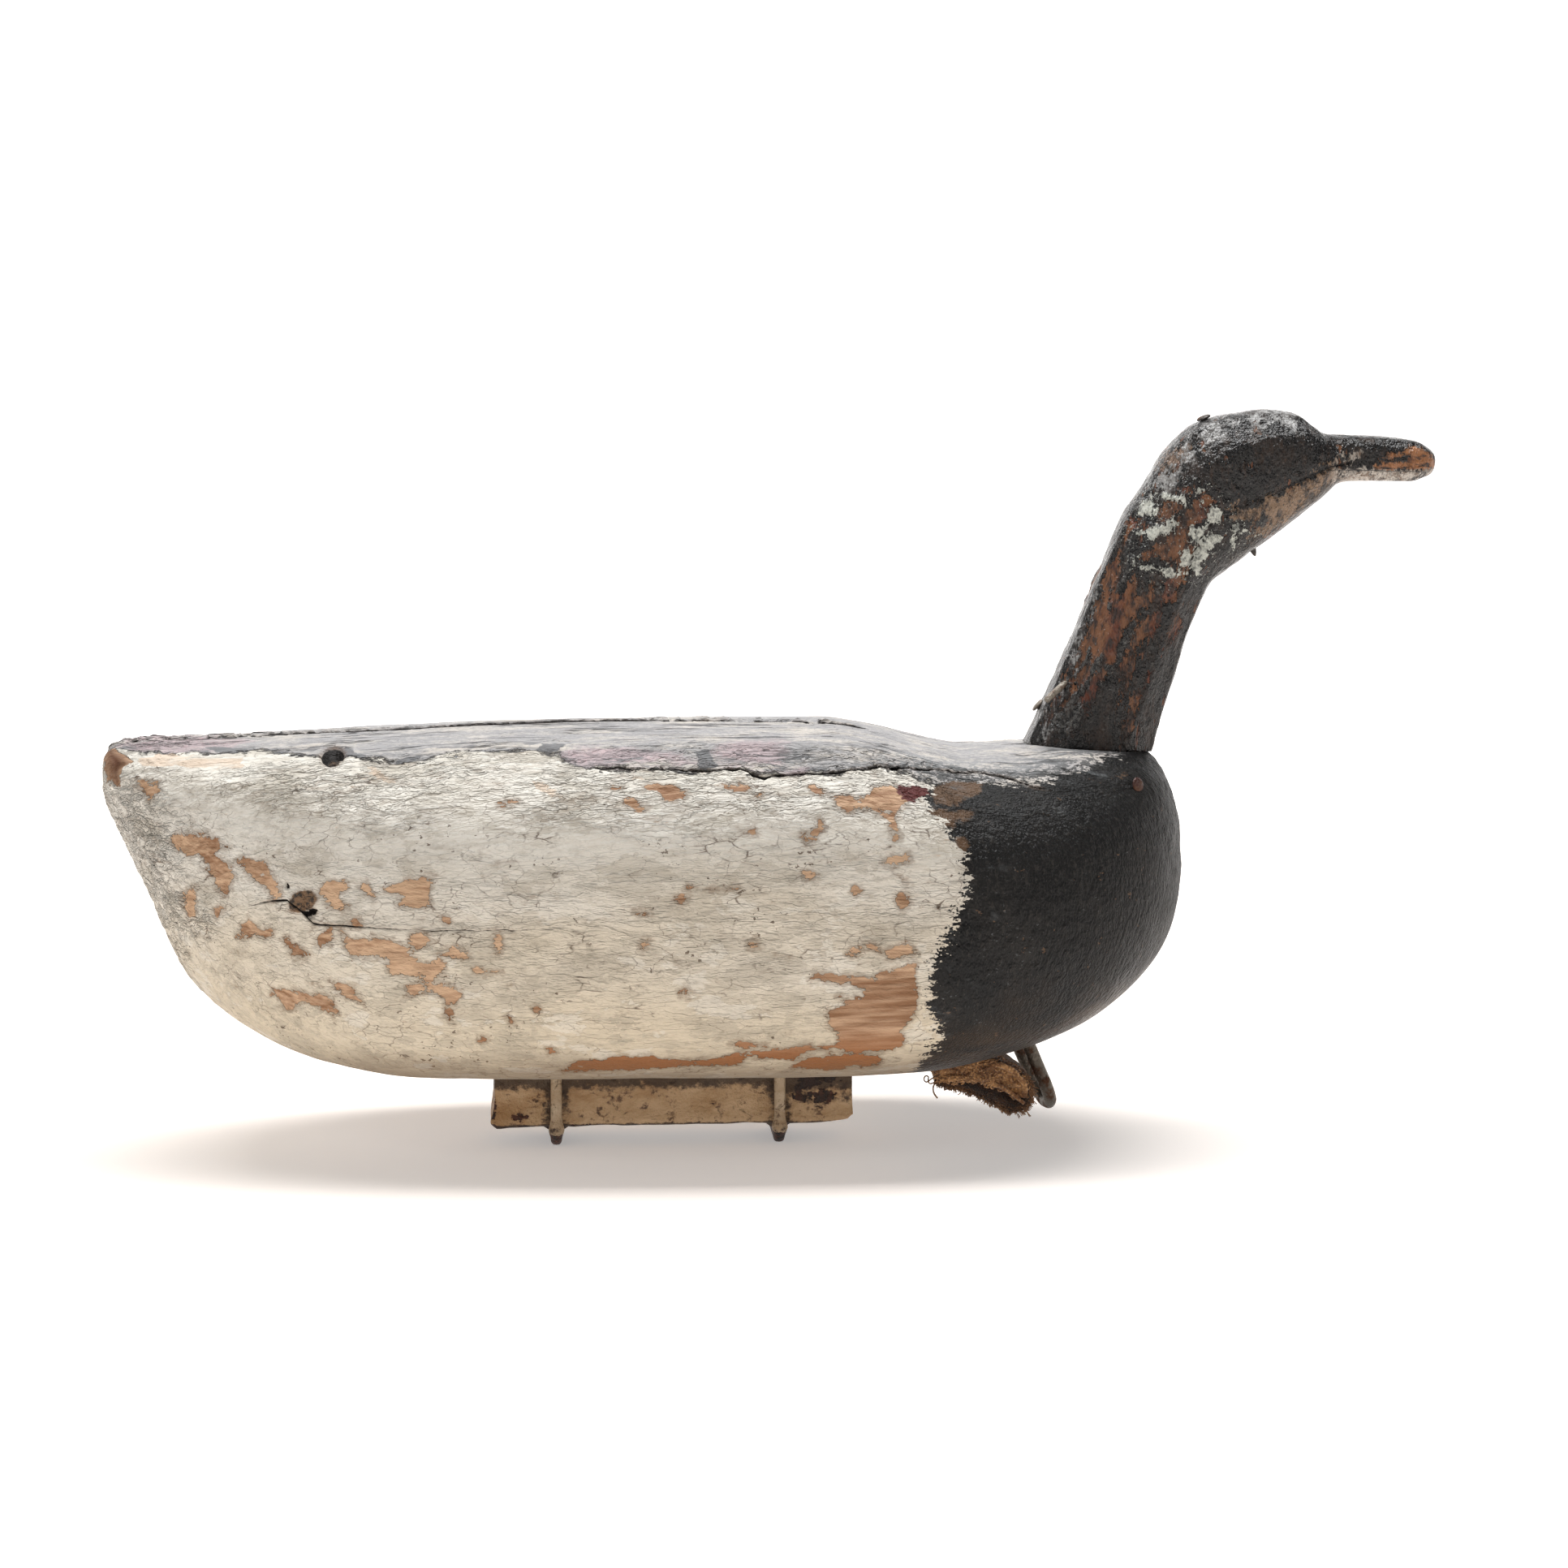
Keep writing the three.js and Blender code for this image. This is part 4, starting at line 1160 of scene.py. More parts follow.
        # On the shelf the grey back is laid over with bluish grey: worn paint and a painted sheen
        shelf_wear_and_sheen = g.times(g.rise(g.note("black"), 70, 2), g.rise(height, 170, 190))
        pocked = g.rise(g.add(g.noise(3.0, 6, 0.78), g.times(mottled, 0.5)), 0.16, -0.06)
        back = g.lay(back, self.worn_grey_and_sheen, shelf_wear_and_sheen, pocked, 0.8)
        close = g.times(g.rise(g.note("black"), 24, 0), shelf_wear_and_sheen, g.rise(pocked, 0.1, 0.7))
        back = g.lay(back, self.worn_black, close, 0.7)
        border = g.times(ragged, 1.9)
        on_back = g.inside("back", border, 0.45)
        paint = g.mix(on_back, white, back)
        torn = g.rise(g.fold(g.add(g.note("back"), border)), 2.0, 0.6)
        paint = g.lay(paint, self.gap, torn, g.rise(mottled, -0.3, 0.1), 0.82)
        primed = g.inside("primer", ragged, 0.4)
        paint = g.lay(paint, self.primer, primed, g.rise(blotch, 0.25, -0.05), 0.7)

        # Bare wood where paint has gone, with islands of paint left on it, and small chips
        chips = g.rise(g.noise(7.5, 6, 0.68, 2.2, 90.0), 0.54, 0.57)
        tip = g.inside("tip", g.times(ragged, 0.6), 0.3)
        open_wood = g.most(g.inside("bare", ragged, 0.22), tip)
        islands = g.rise(g.noise(4.2, 5, 0.68, 1.8, 260.0), 0.42, 0.46)
        bare = g.times(g.most(open_wood, chips), g.rest(islands))
        rim = g.times(g.inside("bare", ragged, 3.0, 0.3), g.rest(bare))
        paint = g.lay(paint, self.soil, rim, 0.42)
        colour = g.mix(bare, paint, wood)
        # Painted shade and dirt: the lower flank, where the body turns under, is darkened towards
        # brown
        foot = g.rise(g.add(height, g.times(blotch, 9)), 70, 48)
        colour = g.lay(colour, self.foot, foot, 0.62)

        # The black breast
        scratches = g.noise(1.8, 5, 0.72, (1.6, 1, 3), 23.0)
        nicks = g.noise(1.4, 5, 0.75, 2.2, 350.0)
        rubbed = g.noise(30, 5, 0.66)
        breast = g.lay(self.black, self.worn_black, g.rise(rubbed, -0.1, 0.6), 0.5)
        breast = g.lay(breast, self.worn_black, g.rise(scratches, 0.1, 0.4), 0.6)
        nicked = g.rise(nicks, 0.26, 0.46)
        breast = g.lay(breast, self.worn_grey_and_sheen, nicked, g.rise(rubbed, -0.1, 0.3), 0.4)
        rust = g.add(g.noise(5, 6, 0.76, 1.8, 410.0), g.times(rubbed, 0.2))
        breast = g.lay(breast, self.brown, g.rise(rust, 0.33, 0.38), 0.6)
        stained = g.inside("brown", ragged, 1.0, -1.5)
        breast = g.lay(breast, self.brown, stained, g.rise(blotch, 0.4, 0.0), 0.8)
        # Near the breast's top, bluish grey smears stand for dust and a painted sheen on the black
        worn_grey_and_sheen = g.rise(g.noise(10, 6, 0.72, (2.6, 1, 1.4), 230.0), 0.08, 0.5)
        breast = g.lay(breast, self.worn_grey_and_sheen, worn_grey_and_sheen, g.rise(g.note("black"), -30.0, -1.0), 0.55)
        breast = g.lay(breast, self.gap, lines, 0.3)
        breast = g.lay(breast, self.foot, g.rise(level, 92, 46), g.rise(blotch, -0.4, 0.2), 0.42)
        on_shelf = g.times(g.rise(forward, 90, 112), g.rise(height, 186, 198))
        fray = g.noise(3.4, 6, 0.78, (3.0, 1.2, 1), 180.0)
        fray = g.times(fray, g.add(10.0, g.times(on_shelf, 16.0)))
        torn_off = g.times(g.noise(1.5, 5, 0.8, 1.8, 500.0), 9.0)
        reach = g.add(g.note("black"), fray, torn_off, g.times(ragged, 0.3))
        on_breast = g.rise(reach, 0.5, -0.5)
        colour = g.mix(on_breast, colour, breast)
        colour = g.mix(g.inside("wine", ragged, 0.6), colour, self.wine)

        # Dirt in the cracks and round the knots
        dirty = g.inside("soil", g.times(stain, 0.5), 0.1, 1.0)
        colour = g.lay(colour, self.soil, dirty, 0.6)
        heart = g.inside("knot", g.times(stain, 0.4), 0.0, 0.2)
        burl = g.mix(g.rise(g.noise(2.2, 5, 0.7), -0.15, 0.25), self.soil, self.gap)
        colour = g.lay(colour, burl, heart, 0.9)
        colour = g.mix(g.inside("seam", g.times(ragged, 0.07), -0.2, 0.2), colour, self.gap)

        # The renderer reckons the relief three times over, so it is kept short
        painted = g.rest(open_wood)
        in_black = g.rise(g.note("black"), 0.5, -0.5)
        pale_skin = g.times(painted, g.rest(in_black))
        skin = g.noise(11, 5, 0.66, 2.6, 700.0)
        relief = g.add(
            g.times(painted, 0.55),
            g.times(crimp, g.most(thick, 0.22), pale_skin, 0.8),
            g.times(skin, g.blend(in_black, 1.2, 0.55)),
            g.times(on_back, pale_skin, -0.5),
            g.times(g.add(g.times(split, on_back), torn), -0.8),
            g.times(scratches, in_black, 0.7),
            g.times(wood_relief, open_wood, 1.6),
        )
        sheen = g.times(g.rise(level, 130, 60), -0.14)
        polish = g.add(0.5, g.times(rubbed, 0.25), g.times(scratches, 0.15), sheen)
        gloss = g.blend(on_breast, g.add(0.6, g.times(blotch, 0.2)), polish)
        return g.finish(colour, gloss, g.times(self.relief, relief), Specular_IOR_Level=0.22)


@dataclass(frozen=True)
class HeadPaint:
    """Black paint, thick and scratched, worn to brown wood and an old white coat."""

    black: Rgba = linear(16, 15, 15)
    brownish: Rgba = linear(54, 40, 31)
    grey: Rgba = linear(112, 111, 108)
    # Light grey of rubbed paint, also a painted sheen on the crown and the neck's rear edge
    scuff_and_sheen: Rgba = linear(172, 172, 171)
    wood: Rgba = linear(116, 76, 48)
    red_wood: Rgba = linear(100, 50, 30)
    dark_wood: Rgba = linear(42, 30, 25)
    pink: Rgba = linear(150, 128, 112)
    white: Rgba = linear(204, 206, 196)
    white_shade: Rgba = linear(122, 125, 120)
    tan: Rgba = linear(136, 110, 86)
    # Pale lower bill: painted light from the floor below
    mandible_bounce_light: Rgba = linear(196, 187, 176)
    orange: Rgba = linear(156, 106, 70)
    gap: Rgba = linear(12, 9, 8)
    grain: Triple = (1.5, 1.5, 5)  # it runs up the neck

    def make(self) -> Material:
        """Make the material for the head and neck.

        Returns:
            The finished material.
        """
        g = Graph("worn_head_paint")
        broad = g.noise(6, 6, 0.72, (1, 1, 1.8), 1.0)
        crisp = g.noise(2.4, 6, 0.8, (1, 1, 1.7), 44.0)
        ragged = g.add(g.times(broad, 6.0), g.times(crisp, 5.5))
        streaks = g.noise(2.0, 5, 0.7, self.grain, 4.0)
        worn = g.noise(12, 6, 0.7, (1, 1, 2), 9.0)
        specks = g.noise(1.7, 5, 0.75)
        mottle = g.noise(4.0, 6, 0.76, (1, 1, 2.2), 19.0)
        forward, _, height = g.axes()

        # Brown wood, reddest where it was last rubbed, darker low on the neck
        red = g.rise(g.noise(8, 5, 0.66, self.grain, 4.0), -0.1, 0.25)
        wood = g.mix(red, self.wood, self.red_wood)
        tone = g.add(g.times(streaks, 0.9), g.times(worn, 0.5), g.times(mottle, 0.9))
        tone = g.add(tone, g.times(g.rise(height, 262, 214), 0.22))
        wood = g.mix(g.rise(tone, -0.3, 0.42), wood, self.dark_wood)

        # Black paint, browned and scuffed grey along its edges and on the crown; the light grey on
        # the crown and up the neck's rear edge is both rubbed paint and a painted sheen
        scratched = g.noise(1.5, 5, 0.7, (3.5, 1.5, 1), 52.0)
        paint: Input = self.black
        for wear, start, full, over, share in (
            (worn, -0.05, 0.42, self.brownish, 0.8),
            (mottle, 0.02, 0.36, self.brownish, 0.75),
            (scratched, 0.2, 0.5, self.grey, 0.36),
            (specks, 0.28, 0.5, self.grey, 0.26),
        ):
            paint = g.lay(paint, over, g.rise(wear, start, full), share)
        rubbed = g.add(worn, g.times(mottle, 0.8), g.times(scratched, 0.3))
        scuffs_and_sheen = g.inside("scuff_and_sheen", g.times(ragged, 1.2), 2.5, -3.0)
        paint = g.lay(paint, self.scuff_and_sheen, scuffs_and_sheen, g.rise(rubbed, -0.08, 0.26), 0.8)

        # Where the wood shows, islands of paint are left; small chips are scattered anywhere
        rough = g.times(ragged, 0.45)
        thick = g.inside("black", rough, 0.3)
        chips = g.rise(g.noise(4.5, 6, 0.75, self.grain, 4.0), 0.24, 0.3)
        left = g.rise(g.noise(3.6, 5, 0.74, self.grain, 4.0), 0.16, 0.22)
        bare = g.most(g.inside("wood", ragged, 0.5), g.times(chips, 0.85))
        bare = g.times(bare, g.rest(thick), g.rest(g.times(left, 0.85)))
        colour = g.mix(bare, paint, wood)
        # A pale line where thick paint stands proud: a painted highlight along its raised edge
        lip = g.times(g.inside("black", rough, 0.9, 0.4), thick)
        proud_edge_highlight = g.times(g.inside("black", rough, 0.75, 0.35), g.rest(thick))
        colour = g.lay(colour, self.grey, g.most(lip, proud_edge_highlight), g.rise(specks, -0.1, 0.2), 0.42)

        # Tan under the jaw and pinkish behind the neck; the lower bill is painted paler, as painted
        # light from the floor below
        on_bill = g.rise(forward, 283, 292)
        kept = g.rise(g.add(worn, g.times(mottle, 0.7)), 0.3, -0.12)
        tan = g.times(
            g.inside("tan", g.times(ragged, 1.2), 1.2),
            g.most(g.times(on_bill, 0.6), kept),
            g.rise(specks, 0.42, 0.14),
        )
        pale = g.mix(g.rise(forward, 222, 206), g.mix(on_bill, self.tan, self.mandible_bounce_light), self.pink)
        shaded = g.mix(on_bill, self.brownish, self.tan)
        colour = g.lay(colour, g.mix(g.rise(mottle, -0.1, 0.35), pale, shaded), tan, 0.9)

        # What is left of the white cheek
        flaked = g.add(g.times(broad, 5.0), g.times(crisp, 6.0))
        white = g.inside("white", g.times(flaked, 0.8), 0.3)
        stray = g.times(g.rise(g.note("white"), 11.0, 0.5), g.rise(specks, 0.24, 0.3))
        white = g.times(g.most(white, stray), g.rise(specks, 0.6, 0.35))
        shade = g.rise(g.noise(3.0, 6, 0.76), -0.15, 0.3)
        colour = g.lay(colour, g.mix(shade, self.white, self.white_shade), white, 0.95)

        orange = g.inside("orange", g.times(ragged, 0.6), 1.0)
        streaked = g.rise(g.noise(1.6, 5, 0.7, (5, 2, 1.2), 15.0), -0.1, 0.4)
        colour = g.mix(orange, colour, g.mix(streaked, self.orange, self.dark_wood))
        seam = g.rise(g.most(g.note("seam"), g.note("ledge")), -0.15, 0.2)
        colour = g.mix(seam, colour, self.gap)
        coat = g.rest(bare)
        relief = g.add(
            g.times(coat, 0.6),
            g.times(white, 0.4),
            g.times(thick, 0.6),
            g.times(g.noise(3.4, 6, 0.7, (1.2, 1.2, 2.4), 50.0), 1.5),
            g.times(streaks, 0.5),
            g.times(mottle, 0.5),
            g.times(specks, coat, 0.3),
        )
        gloss = g.add(0.27, g.times(worn, 0.3), g.times(bare, 0.16), g.times(white, 0.3))
        return g.finish(colour, gloss, relief, Specular_IOR_Level=0.45)


@dataclass(frozen=True)
class IronPaint:
    """Cream paint over rusting iron, as on the ballast bar and its staples."""

    name: str
    cream: Rgba = linear(208, 176, 138)
    ochre: Rgba = linear(166, 128, 86)
    rust: Rgba = linear(88, 50, 32)
    dark: Rgba = linear(40, 29, 23)
    plates: float = 5.0

    def make(self) -> Material:
        """Make the material for a piece of painted iron.

        Returns:
            The finished material.
        """
        g = Graph(self.name)
        broad = g.noise(22, 6, 0.68, 2.2, 8.0)
        paint = g.mix(g.rise(broad, -0.25, 0.4), self.cream, self.ochre)
        stain = g.noise(7, 6, 0.74)
        crisp = g.noise(2.2, 5, 0.76, 1.6, 21.0)
        rusting = g.rise(g.add(stain, g.times(crisp, 0.4)), 0.1, 0.42)
        paint = g.lay(paint, self.rust, rusting, 0.65)
        warped = g.bent(g.place(1.4, 3.0), 5, 2.2, 3)
        edge = g.times(g.cells(self.plates, warped), self.plates)
        lines = g.times(g.rise(edge, 0.4, 0.04), g.rise(g.noise(12, 4, 0.65), 0.1, 0.4))
        paint = g.lay(paint, self.dark, lines, 0.85)
        chips = g.add(
            g.noise(5, 6, 0.72, 2.2, 8.0),
            g.times(g.noise(2, 4, 0.6, (1, 1, 4), 60.0), 0.35),
            g.note("wear"),
        )
        bare = g.rise(chips, 0.5, 0.56)
        pitted = g.rise(g.noise(3, 5, 0.66, (1, 1, 4), 60.0), -0.25, 0.35)
        colour = g.lay(paint, self.rust, g.rise(chips, 0.3, 0.62), 0.45)
        colour = g.mix(bare, colour, g.mix(pitted, self.rust, self.dark))
        # The dirt note darkens the paint as dirt and stains, and on the bar's top and the staples'
        # upper legs as painted shadow under the body
        dirty = g.add(g.note("dirt"), g.times(stain, 1.1), g.times(crisp, 0.6))
        colour = g.lay(colour, self.dark, g.rise(dirty, 0.12, 0.8), 0.85)
        relief = g.add(
            g.times(g.rest(bare), 0.6), g.times(lines, -0.5), g.times(g.noise(2.6, 5, 0.7), 0.8)
        )
        return g.finish(colour, g.add(0.5, g.times(broad, 0.2)), relief, Specular_IOR_Level=0.4)


@dataclass(frozen=True)
class BareIron:
    """Dark iron rubbed to a dull shine, with brown rust in patches."""

    name: str
    iron: Rgba = linear(98, 91, 81)
    rust: Rgba = linear(84, 54, 34)
    metal: float = 0.55

    def make(self) -> Material:
        """Make the material for bare iron.

        Returns:
            The finished material.
        """
        g = Graph(self.name)
        patch = g.noise(6, 5, 0.62)
        rusty = g.rise(patch, 0.0, 0.35)
        relief = g.add(g.times(rusty, 0.25), g.times(g.noise(1.3, 4, 0.65), 0.4))
        gloss = g.add(0.38, g.times(rusty, 0.32), g.times(patch, 0.12))
        return g.finish(g.mix(rusty, self.iron, self.rust), gloss, relief, Metallic=self.metal)


@dataclass(frozen=True)
class CarpetWebbing:
    """Coarse brown woven stuff with a looped pile, dirty and frayed."""

    name: str
    light: Rgba
    dark: Rgba
    weave: float

    def make(self) -> Material:
        """Make the material for the strap or its threads.

        Returns:
            The finished material.
        """
        g = Graph(self.name)
        knots = g.cells(self.weave, g.bent(g.place(), 3, 0.5, 2.0), CellMeasure.TO_MIDDLE)
        nap = g.rise(knots, 0.1, 0.75)
        dirt = g.rise(g.noise(9, 5, 0.62), -0.3, 0.4)
        tone = g.add(g.times(nap, 0.55), g.times(dirt, 0.6))
        relief = g.add(g.times(nap, -0.5), g.times(g.noise(0.7, 3, 0.6), 0.2))
        colour = g.mix(tone, self.light, self.dark)
        return g.finish(colour, 0.95, relief, Sheen_Weight=0.25, Sheen_Roughness=0.5)


# The carved body


@dataclass
class BodyBlock:
    """The carved and painted body, from its blunt tail to the rounded breast."""

    columns: int = 372
    seat_station: float = 472.4  # the neck's rear edge on the shelf
    seat_height: float = 161.3  # above the flat bottom
    seat_slope: float = 3.6
    shelf_station: float = 448.2  # where the flat seat starts to be cut
    tail_form: float = 0.3
    breast_form: float = 0.7
    near_rows: tuple[int, int, int, int] = (46, 46, 42, 12)
    far_rows: int = 62
    crack_rows: tuple[float, ...] = (-2.4, -1.4, -0.8, -0.35, 0.0, 0.35, 0.8, 1.4, 2.4)
    crack_depth: float = 2.6
    # Each crack's line, its gape and how far its edges stand up
    cracks: tuple[tuple[Outline, Outline, float], ...] = (
        (TOP_CRACK, TOP_CRACK_GAPE, 1.5),
        (BORDER_CRACK, BORDER_CRACK_GAPE, 0.5),
        (FLANK_CRACK, FLANK_CRACK_GAPE, 0.25),
    )
    # Holes: station and girth, half their length and height, depth
    holes: tuple[tuple[float, float, float, float, float], ...] = (
        (116.9, 55.5, 6.0, 12.5, 5.0),
        (106.3, 148.6, 3.6, 1.9, 4.0),
        (95.2, 132.4, 1.3, 1.7, 2.2),
        (393.5, 80.5, 6.0, 2.1, 4.0),
        (103.4, 141.2, 1.2, 0.9, 1.2),
    )
    # The proud knot and the plug of dark wood in the upper hole: place, half length and height
    knot: tuple[float, float, float, float] = (102.5, 142, 7.0, 5.2)
    plug: tuple[float, float, float, float] = (117.5, 60, 3.6, 6.5)
    lead_in: tuple[float, ...] = (0.9, 0.7, 0.45, 0.2, 0.08)  # rings that close the tail's end
    lead_in_bulge: tuple[float, ...] = (0.7, 0.6, 0.5, 0.3, 0.1)

    def seat_level(self, station: Array) -> Array:
        """Height of the seat's plane in the frame, far above the body behind the shelf."""
        drop = (station - self.seat_station) * math.tan(math.radians(self.seat_slope))
        level = BODY_BOTTOM + self.seat_height - drop
        return np.where(station > self.shelf_station, level, 1e4)

    def sections(self, rows: Array, samples: int) -> Array:
        """Fine rings of the body at stations, from the ridge down the near side and round.

        Args:
            rows: Interpolated rows of the body's lines.
            samples: Points round each ring.

        Returns:
            Points as stations by samples by (x, y, z).
        """
        station, top, bottom, half = rows.T
        share = station / BODY_LINES[-1][0]
        tail = ease(self.tail_form - share, 0, self.tail_form)[:, None, None]
        breast = ease(share, self.breast_form, 1)[:, None, None]
        middle, back, front = np.array([MIDDLE_SECTION, TAIL_SECTION, BREAST_SECTION], float)
        form = middle + tail * (back - middle) + breast * (front - middle)
        polygon = np.concatenate([form, form[:, -2:0:-1] * np.array([-1.0, 1.0])], axis=1)
        count = polygon.shape[1]
        at = np.arange(samples) / samples * count
        whole = np.floor(at).astype(int)
        t = (at - whole)[None, :, None]
        # A cubic spline drawn over the section's corners
        weights = (
            (1 - t) ** 3 / 6,
            (3 * t**3 - 6 * t**2 + 4) / 6,
            (-3 * t**3 + 3 * t**2 + 3 * t + 1) / 6,
            t**3 / 6,
        )
        curve = sum(w * polygon[:, (whole - 1 + k) % count] for k, w in enumerate(weights))
        y = -curve[..., 0] * half[:, None]
        z = BODY_BOTTOM + bottom[:, None] + curve[..., 1] * (top - bottom)[:, None]
        z = np.minimum(z, self.seat_level(station)[:, None])
        x = np.broadcast_to((station + TAIL_END)[:, None], y.shape)
        return np.stack([x, y, z], -1)

    def row_girths(self, station: Array, half_girth: Array) -> Array:
        """Girth of every row of the mesh, its rows drawn along the three long cracks.

        Args:
            station: Stations of the columns.
            half_girth: Girth from the ridge to the middle of the bottom at each.

        Returns:
            Girths as columns by rows: 0 at the ridge, positive down the near side, and over the
            half girth on the far side.
        """
        shrink = np.minimum(1.0, half_girth / 230)
        top = along_table(TOP_CRACK, station) * shrink
        guides = [top]
        for crack in (BORDER_CRACK, FLANK_CRACK):
            at = np.asarray(crack, float)
            share = at[:, 1] / np.interp(at[:, 0], station, half_girth)
            guides.append(np.interp(station, at[:, 0], share) * half_girth)
        guides += [0.77 * half_girth, half_girth]
        offsets = np.asarray(self.crack_rows)
        rows: list[Array] = []
        for k, count in enumerate(self.near_rows):
            start = guides[k] + (offsets[-1] * shrink if k < 3 else 0)
            stop = guides[k + 1] - (offsets[-1] * shrink if k < 2 else 0)
            if k < 3:
                rows += [guides[k] + o * shrink for o in offsets if k or o >= 0]
            rows += [start + (stop - start) * i / count for i in range(1, count + (k >= 2))]
        far_end = 2 * half_girth + top
        stop = far_end + offsets[0] * shrink
        spread = np.arange(1, self.far_rows) / self.far_rows
        spread = spread - 0.32 * np.sin(2 * math.pi * spread) / (2 * math.pi)
        rows += [half_girth + (stop - half_girth) * s for s in spread]
        rows += [far_end + o * shrink for o in offsets if o < 0]
        return np.stack(rows, 1)

    def shape(self) -> tuple[Array, Array, Array, Array]:
        """The smooth body before its wear.

        Returns:
            The rings, and for each of their points the station, the girth (negative on the far
            side) and the half girth.
        """
        index = even_indices(BODY_LINES, self.columns, (1, 0.6, 0.9, 0.8))
        rows = table_rows(BODY_LINES, index[:-1])
        fine = self.sections(rows, 1080)
        closed = np.concatenate([fine, fine[:, :1]], axis=1)
        run = np.array([travelled(ring) for ring in closed])
        half = run[:, -1] / 2
        girth = self.row_girths(rows[:, 0], half)
        rings = np.array([
            read_path(ring, along, np.mod(at, along[-1]))
            for ring, along, at in zip(closed, run, girth)
        ])
        signed = np.where(girth > half[:, None], girth - 2 * half[:, None], girth)
        station = np.broadcast_to(rows[:, :1], girth.shape)
        return rings, station, signed, np.broadcast_to(half[:, None], girth.shape)

    def notes(self, rings: Array, station: Array, girth: Array, half: Array) -> dict[str, Array]:
        """Distances to each kind of wear; the far side has its own wandering copy of them.

        Args:
            rings: The smooth body's points.
            station: Station of each point.
            girth: Girth of each point.
            half: Half girth at each point.

        Returns:
            Distances by name, negative inside the wear.
        """
        far = ease(-girth, 0, 30) * ease(half - np.abs(girth), 0, 25)
        along = station + far * (26 * rough_lumps(rings, 75, 3) + 9)
        down = np.abs(girth) + far * (20 * rough_lumps(rings, 75, 4) + 4)
        place = np.stack([along, down], -1)
        found = {
            key: signed_distance(place, patches(rows), 14.0) for key, rows in BODY_WEAR.items()
        }
        under_black = [(430, 100), (458, 104), (485, 92), (520, 62), (553, -14)]
        back = [*BACK_BORDER, *under_black, (545, -40), (-20, -40), (-20, 12)]
        black = [*BLACK_TOP, (565, -30), (565, 420), (398, 420), (400, 300), *BLACK_REAR[::-1]]
        found["back"] = signed_distance(place, [np.array(back, float)], 80.0)
        found["black"] = signed_distance(place, [np.array(black, float)], 40.0)
        thick = ease(70 - found["back"], 0, 60) * ease(np.abs(girth), 40, 75)
        found["thick"] = np.maximum(thick, ease(90 - station, 0, 80)) - 0.35
        return found

    def wear(
        self,
        rings: Array,
        station: Array,
        girth: Array,
        notes: dict[str, Array],
    ) -> Array:
        """Relief of the carving, the cracks, the knots and the lost paint.

        Args:
            rings: The smooth body's points.
            station: Station of each point.
            girth: Girth of each point.
            notes: The wear's distances, to which the cracks' are added.

        Returns:
            How far each point moves outwards, in mm.
        """
        bumps = functools.partial(rough_lumps, rings)

        def reach(at: float, down: float, long: float, tall: float) -> Array:
            """Distance from a place, in shares of an oval."""
            return np.hypot((station - at) / long, (girth - down) / tall)

        out = 0.5 * bumps(70, 1) + 0.16 * bumps(18, 2)
        out -= 0.4 * ease(-notes["bare"] + 1.2 * bumps(5, 5), -0.6, 0.6)
        shelf = ease(station, 392, 425) * ease(80 - np.abs(girth), 0, 16)
        out += shelf * (0.7 * bumps(11, 6) + 0.3 * bumps(5, 7))
        seam = np.full(girth.shape, -9.0)
        soil = np.zeros(girth.shape)
        jitter = 0.55 * bumps(9, 11) + 0.3 * bumps(3, 12)
        pinched = 1 + 0.5 * bumps(7, 13)
        for line, gape, lip in self.cracks:
            width = along_table(gape, station) * pinched
            off = girth - along_table(line, station) - jitter
            inside = np.clip(1 - np.abs(off) / np.maximum(width * 1.25, 0.05), 0, 1)
            open_here = ease(width, 0.05, 0.4)
            out -= self.crack_depth * width * np.sqrt(inside) * open_here
            edge = np.exp(-((np.abs(off) - width * 1.25 - 0.6) ** 2) / 1.6) * open_here
            out += lip * edge * np.where(off < 0, 1.0, 0.25)
            # The far side of a wide crack stands higher, so its wall shows dark
            step = ease(width, 0.8, 1.8) * ease(-off, 0, width + 0.5)
            out += 0.6 * lip * step * np.exp(off.clip(-60, 0) / 16)
            # The seam's near-black also reaches a little onto the far wall, as painted shade on
            # that wall
            wall = width + 0.12 * lip * (off < 0)
            seam = np.maximum(seam, np.where(open_here > 0.02, wall - np.abs(off), -9.0))
            soil = np.maximum(soil, 0.5 * open_here * ease(4 - np.abs(off), 0, 4))
        for *oval, depth in self.holes:
            hole = reach(*oval)
            out -= depth * ease(1.15 - hole, 0, 0.75)
            out += 0.5 * np.exp(-((hole - 1.45) ** 2) / 0.08)
            seam = np.maximum(seam, (0.95 - hole) * min(oval[2:]) * 1.2)
            soil = np.maximum(soil, 0.7 * ease(1.5 - hole, 0, 0.6))
        knot, plug = reach(*self.knot), reach(*self.plug)
        out += 1.3 * ease(1.3 - knot, 0, 0.7) * (1 + 0.5 * bumps(4, 14))
        out += 3.0 * ease(1.2 - plug, 0, 0.7)
        notes["soil"] = np.maximum(soil, 0.9 * ease(1.7 - knot, 0, 1.0))
        notes["knot"] = np.maximum(1.0 - plug, 1.15 - knot)
        notes["seam"] = np.where(plug < 1.0, np.minimum(seam, 0.25 * bumps(3, 15)), seam)
        # Wrinkles and curled flakes along the upper flank and the tail
        crimp = ease(0.3 - np.abs(rough_lumps(rings * np.array([0.5, 1, 1]), 9, 16)), 0, 0.3)
        fine = rough_lumps(rings * np.array([0.45, 1, 1]), 4.6, 17, 2)
        skin = ease(notes["thick"], -0.2, 0.4) * ease(notes["black"], 0, 12)
        return out + skin * (0.85 * crimp + 0.45 * ease(0.3 - np.abs(fine), 0, 0.3))

